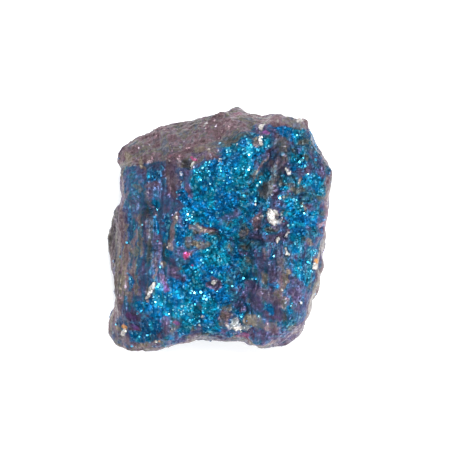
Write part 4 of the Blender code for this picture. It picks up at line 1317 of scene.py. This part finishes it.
def growing_tree():
    """Scatters shapes over a mesh. Every size, the seed and the attribute that says where are inputs."""
    tree = bpy.data.node_groups.new("grow_grains", "GeometryNodeTree")
    face = tree.interface
    face.new_socket("Geometry", in_out="INPUT", socket_type="NodeSocketGeometry")
    for name, kind, value in TREE_INPUTS:
        socket = face.new_socket(name, in_out="INPUT", socket_type=kind)
        if value is not None:
            socket.default_value = value
    face.new_socket("Geometry", in_out="OUTPUT", socket_type="NodeSocketGeometry")
    given = tree.nodes.new("NodeGroupInput").outputs

    def node(kind, inputs=(), **settings):
        return add(tree, kind, inputs, **settings)

    def number(operation, first, second):
        return calculate(tree, operation, first, second)

    where = node("GeometryNodeInputNamedAttribute", {"Name": given["Where"]}, data_type="FLOAT").outputs[0]
    scatter = node(
        "GeometryNodeDistributePointsOnFaces",
        {
            "Mesh": given["Geometry"],
            "Distance Min": number("MULTIPLY", given["Spacing mm"], MM),
            "Density Max": number("MULTIPLY", given["Grains per mm2"], 1 / MM**2),
            "Density Factor": where,
            "Seed": given["Seed"],
        },
        distribute_method="POISSON",
    )
    luck = node("FunctionNodeRandomValue", {"Seed": given["Seed"]}, data_type="FLOAT").outputs[1]
    small, large = (number("MULTIPLY", given[name], MM) for name in ("Smallest mm", "Largest mm"))
    size = node("ShaderNodeMapRange", {0: number("POWER", luck, SMALL_ONES), 3: small, 4: large}).outputs[0]
    depth = number("MULTIPLY", number("MULTIPLY", size, given["Sink"]), -1.0)
    inward = node("ShaderNodeVectorMath", {0: scatter.outputs["Normal"], "Scale": depth}, operation="SCALE")
    moved_in = {"Geometry": scatter.outputs["Points"], "Offset": inward.outputs[0]}
    sunk = node("GeometryNodeSetPosition", moved_in)
    shapes = node(
        "GeometryNodeCollectionInfo",
        {"Collection": given["Shapes"], "Separate Children": True, "Reset Children": True},
    )
    turn_seed = number("ADD", given["Seed"], 1)
    tip_over = number("MULTIPLY", given["Tumble"], math.tau)
    most = node("ShaderNodeCombineXYZ", {0: tip_over, 1: tip_over, 2: math.tau}).outputs[0]
    turn = node("FunctionNodeRandomValue", {"Max": most, "Seed": turn_seed}, data_type="FLOAT_VECTOR")
    turned = node(
        "FunctionNodeRotateRotation",
        {0: scatter.outputs["Rotation"], 1: turn.outputs[0]},
        rotation_space="LOCAL",
    )
    pick = node("FunctionNodeRandomValue", {4: 0, 5: PICKS, "Seed": turn_seed}, data_type="INT").outputs[2]
    grown = node(
        "GeometryNodeInstanceOnPoints",
        {
            "Points": sunk.outputs[0],
            "Instance": shapes.outputs[0],
            "Pick Instance": True,
            "Instance Index": pick,
            "Rotation": turned.outputs[0],
            "Scale": size,
        },
    )
    shade = node("FunctionNodeRandomValue", {"Seed": number("ADD", given["Seed"], 2)}, data_type="FLOAT")
    tinted = node(
        "GeometryNodeStoreNamedAttribute",
        {"Geometry": grown.outputs[0], "Name": "shade", "Value": shade.outputs[1]},
        data_type="FLOAT",
        domain="INSTANCE",
    )
    real = node("GeometryNodeRealizeInstances", {0: tinted.outputs[0]})
    finished = node("GeometryNodeSetMaterial", {"Geometry": real.outputs[0], "Material": given["Material"]})
    result = tree.nodes.new("NodeGroupOutput")
    tree.links.new(finished.outputs[0], result.inputs[0])
    return tree


grow_grains = growing_tree()
print("growing tree:", len(grow_grains.nodes), "nodes")

# %% [markdown]
# ## Crystal materials
# Each crystal carries one random number, its shade, and the tarnish numbers of the skin that it grew on, so
# crystals in a violet patch are violet. Giving every crystal a material of its own would do the same with
# thousands of materials.


# %% Crystal materials
def grain_material(name, metallic, roughest, smoothest):
    """Tarnished grains; the ones with the highest shade are the smoothest."""
    material, tree, shader = new_material(name)
    shade = read(tree, "shade")
    tree.links.new(tarnish_and_painted_light(tree, shade), shader.inputs["Base Color"])
    tree.links.new(span(tree, shade, 0.6, 0.95, roughest, smoothest), shader.inputs["Roughness"])
    shader.inputs["Metallic"].default_value = metallic
    shader.inputs["Specular IOR Level"].default_value = 0.3
    return material


crystal = grain_material("tarnished_crystal", metallic=0.97, roughest=0.5, smoothest=0.32)
dull = grain_material("dull_grain", metallic=0.6, roughest=0.6, smoothest=0.45)
print("grain material:", len(crystal.node_tree.nodes), "nodes")

# %% [markdown]
# ## Bright crystals
# On the real stone a level crystal face throws the lamps straight back and looks pale, while its flanks
# stay dark. A smooth surface alone would flash from one side only, so the top face also has a painted
# highlight, a pale colour of its own.
# The number tip, stored on the faces of each shape, tells the top from the flanks.

# %% Bright crystals
FLANK_DULL, FLANK_BLUE = (0.12, 0.11, 0.20), (0.006, 0.14, 0.30)
# Painted highlight: the pale colours of the top face, brighter where glitter is strong.
PAINTED_FLASH = [
    (0.0, (0.03, 0.22, 0.36)),
    (0.4, (0.06, 0.38, 0.56)),
    (0.75, (0.12, 0.56, 0.74)),
    (1.0, (0.36, 0.78, 0.90)),
]

bright, tree, shader = new_material("bright_crystal")
flank = blend(tree, span(tree, read(tree, "blue"), 0.2, 0.5), FLANK_DULL, FLANK_BLUE)
gleam = span(tree, read(tree, "glitter"), 0.1, 0.8, 0.0, 0.5)
shine = calculate(tree, "ADD", calculate(tree, "MULTIPLY", read(tree, "shade"), 0.8), gleam)
tree.links.new(blend(tree, read(tree, "tip"), flank, ramp(tree, shine, PAINTED_FLASH)), shader.inputs["Base Color"])
shader.inputs["Metallic"].default_value = 0.85
shader.inputs["Roughness"].default_value = 0.26
print("bright crystal:", len(tree.nodes), "nodes")

# %% [markdown]
# ## Quartz
# Quartz isn't metallic: it lets some light in and scatters it. A glass shader would be too clear for these
# cloudy crumbs, so a little subsurface scattering is used, under a grey to white that differs from crumb to
# crumb. The crumbs are greyer towards the edge of a spot, where they thin out.

# %% Quartz
QUARTZ = [
    (0.0, (0.20, 0.19, 0.19)),
    (0.25, (0.36, 0.36, 0.35)),
    (0.6, (0.55, 0.56, 0.56)),
    (1.0, (0.80, 0.82, 0.83)),
]

quartz, tree, shader = new_material("quartz")
tint = ramp(tree, read(tree, "shade"), QUARTZ)
greyer_edge = span(tree, read(tree, "pale"), 0.2, 0.9, 0.42, 1.0)
tree.links.new(blend(tree, 1.0, tint, greyer_edge, "MULTIPLY"), shader.inputs["Base Color"])
shader.inputs["Roughness"].default_value = 0.35
shader.inputs["Subsurface Weight"].default_value = 0.25
shader.inputs["Subsurface Scale"].default_value = 0.3 * MM
print("quartz:", len(tree.nodes), "nodes")

# %% [markdown]
# ## Growing the grains
# Blue crystals make the crust, dull grains roughen the bare ore, bright crystals flash, and quartz fills
# the pale spots. They could all be one piece, but as four each keeps its own shapes, sizes and material.
# Sink is the share of its size that a grain is set into the skin, and Tumble says how far it may tip over:
# the bright ones sit proud of the skin and stay almost level with it.


# %% Grow the grains
def grow(name, mesh, **inputs):
    """A new piece: grains grown on the mesh, turned into a plain mesh of its own."""
    host = put(name + "_host", mesh.copy())
    modifier = host.modifiers.new("grow", "NODES")
    modifier.node_group = grow_grains
    items = grow_grains.interface.items_tree
    sockets = {item.name: item.identifier for item in items if item.in_out == "INPUT"}
    for key, value in inputs.items():
        modifier[sockets[key.replace("_", " ")]] = value
    piece = put(name, plain_mesh(host))
    piece.data.name = name
    print(name, "has", triangle_count(piece.data), "triangles")
    return piece


blue_crystals = grow(
    "blue_crystals", ore_mesh, Where="crust", Grains_per_mm2=18.0, Spacing_mm=0.19, Smallest_mm=0.2,
    Largest_mm=0.58, Sink=0.22, Seed=3, Shapes=crystal_shapes, Material=crystal,
)
dull_grains = grow(
    "dull_grains", ore_mesh, Where="bare", Grains_per_mm2=4.5, Spacing_mm=0.18, Smallest_mm=0.14,
    Largest_mm=0.36, Sink=0.25, Seed=5, Shapes=crystal_shapes, Material=dull,
)
bright_crystals = grow(
    "bright_crystals", ore_mesh, Where="glitter", Grains_per_mm2=12.0, Spacing_mm=0.34, Smallest_mm=0.34,
    Largest_mm=0.66, Sink=-0.1, Tumble=0.04, Seed=12, Shapes=glint_shapes, Material=bright,
)
quartz_crumbs = grow(
    "quartz_crumbs", ore_mesh, Where="pale", Grains_per_mm2=18.0, Spacing_mm=0.2, Smallest_mm=0.22,
    Largest_mm=0.8, Sink=0.2, Seed=8, Shapes=crystal_shapes, Material=quartz,
)

# %% [markdown]
# ## Fixing every piece to the frame
# The stone is grown together and has no joint, so all five pieces ride on its one body. The fine skin
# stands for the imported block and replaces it. Keeping the block as well would leave it showing through the
# skin's hollows.

# %% Fix every piece to the frame
for piece in (chunk, blue_crystals, dull_grains, bright_crystals, quartz_crumbs):
    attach(piece, "root")
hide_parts(NODE)
print("replaced:", NODE)

# %% [markdown]
# ## Table
# The stone lies on a plain white table. The table could be left out over a white backdrop, but then the
# stone would cast no shadow, so it is a real plane that also glows a little, as a light table does.

# %% Table
TABLE_HALF = 1.6  # metres
TABLE_WHITE = 0.9
TABLE_GLOW = 0.26

floor_mesh = bpy.data.meshes.new("table")
corners = [(x * TABLE_HALF, y * TABLE_HALF, 0) for x, y in ((-1, -1), (1, -1), (1, 1), (-1, 1))]
floor_mesh.from_pydata(corners, [], [(0, 1, 2, 3)])
floor = put("table", floor_mesh)
paper, tree, shader = new_material("white_table")
shader.inputs["Base Color"].default_value = (TABLE_WHITE, TABLE_WHITE, TABLE_WHITE, 1.0)
shader.inputs["Roughness"].default_value = 0.9
shader.inputs["Emission Color"].default_value = (1.0, 1.0, 1.0, 1.0)
shader.inputs["Emission Strength"].default_value = TABLE_GLOW
floor_mesh.materials.append(paper)
print("table, m:", 2 * TABLE_HALF)

# %% [markdown]
# ## Lights
# Crystals only sparkle where the light has edges. One even dome would make them flat, so five softboxes of
# different sizes stand round the stone, over a weaker even light that fills the shadows.

# %% Lights
SKY, SKY_STRENGTH = (0.98, 0.99, 1.0, 1.0), 0.65
LAMP_AIM = Vector((0, 0, 0.01))

world = bpy.data.worlds.new("studio")
bpy.context.scene.world = world
world.use_nodes = True
backdrop = world.node_tree.nodes["Background"]
backdrop.inputs["Color"].default_value = SKY
backdrop.inputs["Strength"].default_value = SKY_STRENGTH


def lamp(name, place, size, watts):
    """A square softbox that faces the stone; its place and its size are in metres."""
    data = bpy.data.lights.new(name, "AREA")
    data.shape, data.size, data.energy = "SQUARE", size, watts
    holder = put(name, data)
    holder.location = place
    holder.rotation_euler = (LAMP_AIM - Vector(place)).to_track_quat("-Z", "Y").to_euler()


lamp("overhead_box", (0.08, 0.16, 0.47), 0.22, 3.0)
lamp("low_lamp", (0.36, -0.24, 0.09), 0.12, 1.3)
lamp("left_lamp", (-0.3, 0.05, 0.35), 0.04, 0.3)
lamp("near_lamp", (0.03, -0.06, 0.55), 0.03, 0.7)
lamp("far_lamp", (-0.08, 0.10, 0.6), 0.03, 0.5)

# %% [markdown]
# ## Camera
# The stone is seen from straight above, which is how a new camera looks already. It could stand close with
# a wide lens, but then high parts would look too large, so it stands 0.6 m off. The lens is worked out from
# the width that the frame should take in.

# %% Camera
FRAME_PIXELS = 458
PIXEL = 0.14  # how much of the stone, in mm, one pixel takes in at the height of its edge
FRAME_MIDDLE = Vector((1.26, 0.07, 8.0)) * MM
DISTANCE = 0.6
SENSOR = 36.0

camera_data = bpy.data.cameras.new("camera")
camera_data.sensor_width = SENSOR
camera_data.lens = SENSOR * DISTANCE / (FRAME_PIXELS * PIXEL * MM)
camera = put("camera", camera_data)
camera.location = FRAME_MIDDLE + Vector((0, 0, DISTANCE))
bpy.context.scene.camera = camera
bpy.context.scene.view_settings.view_transform = "Standard"
print("lens, mm:", round(camera_data.lens, 1))
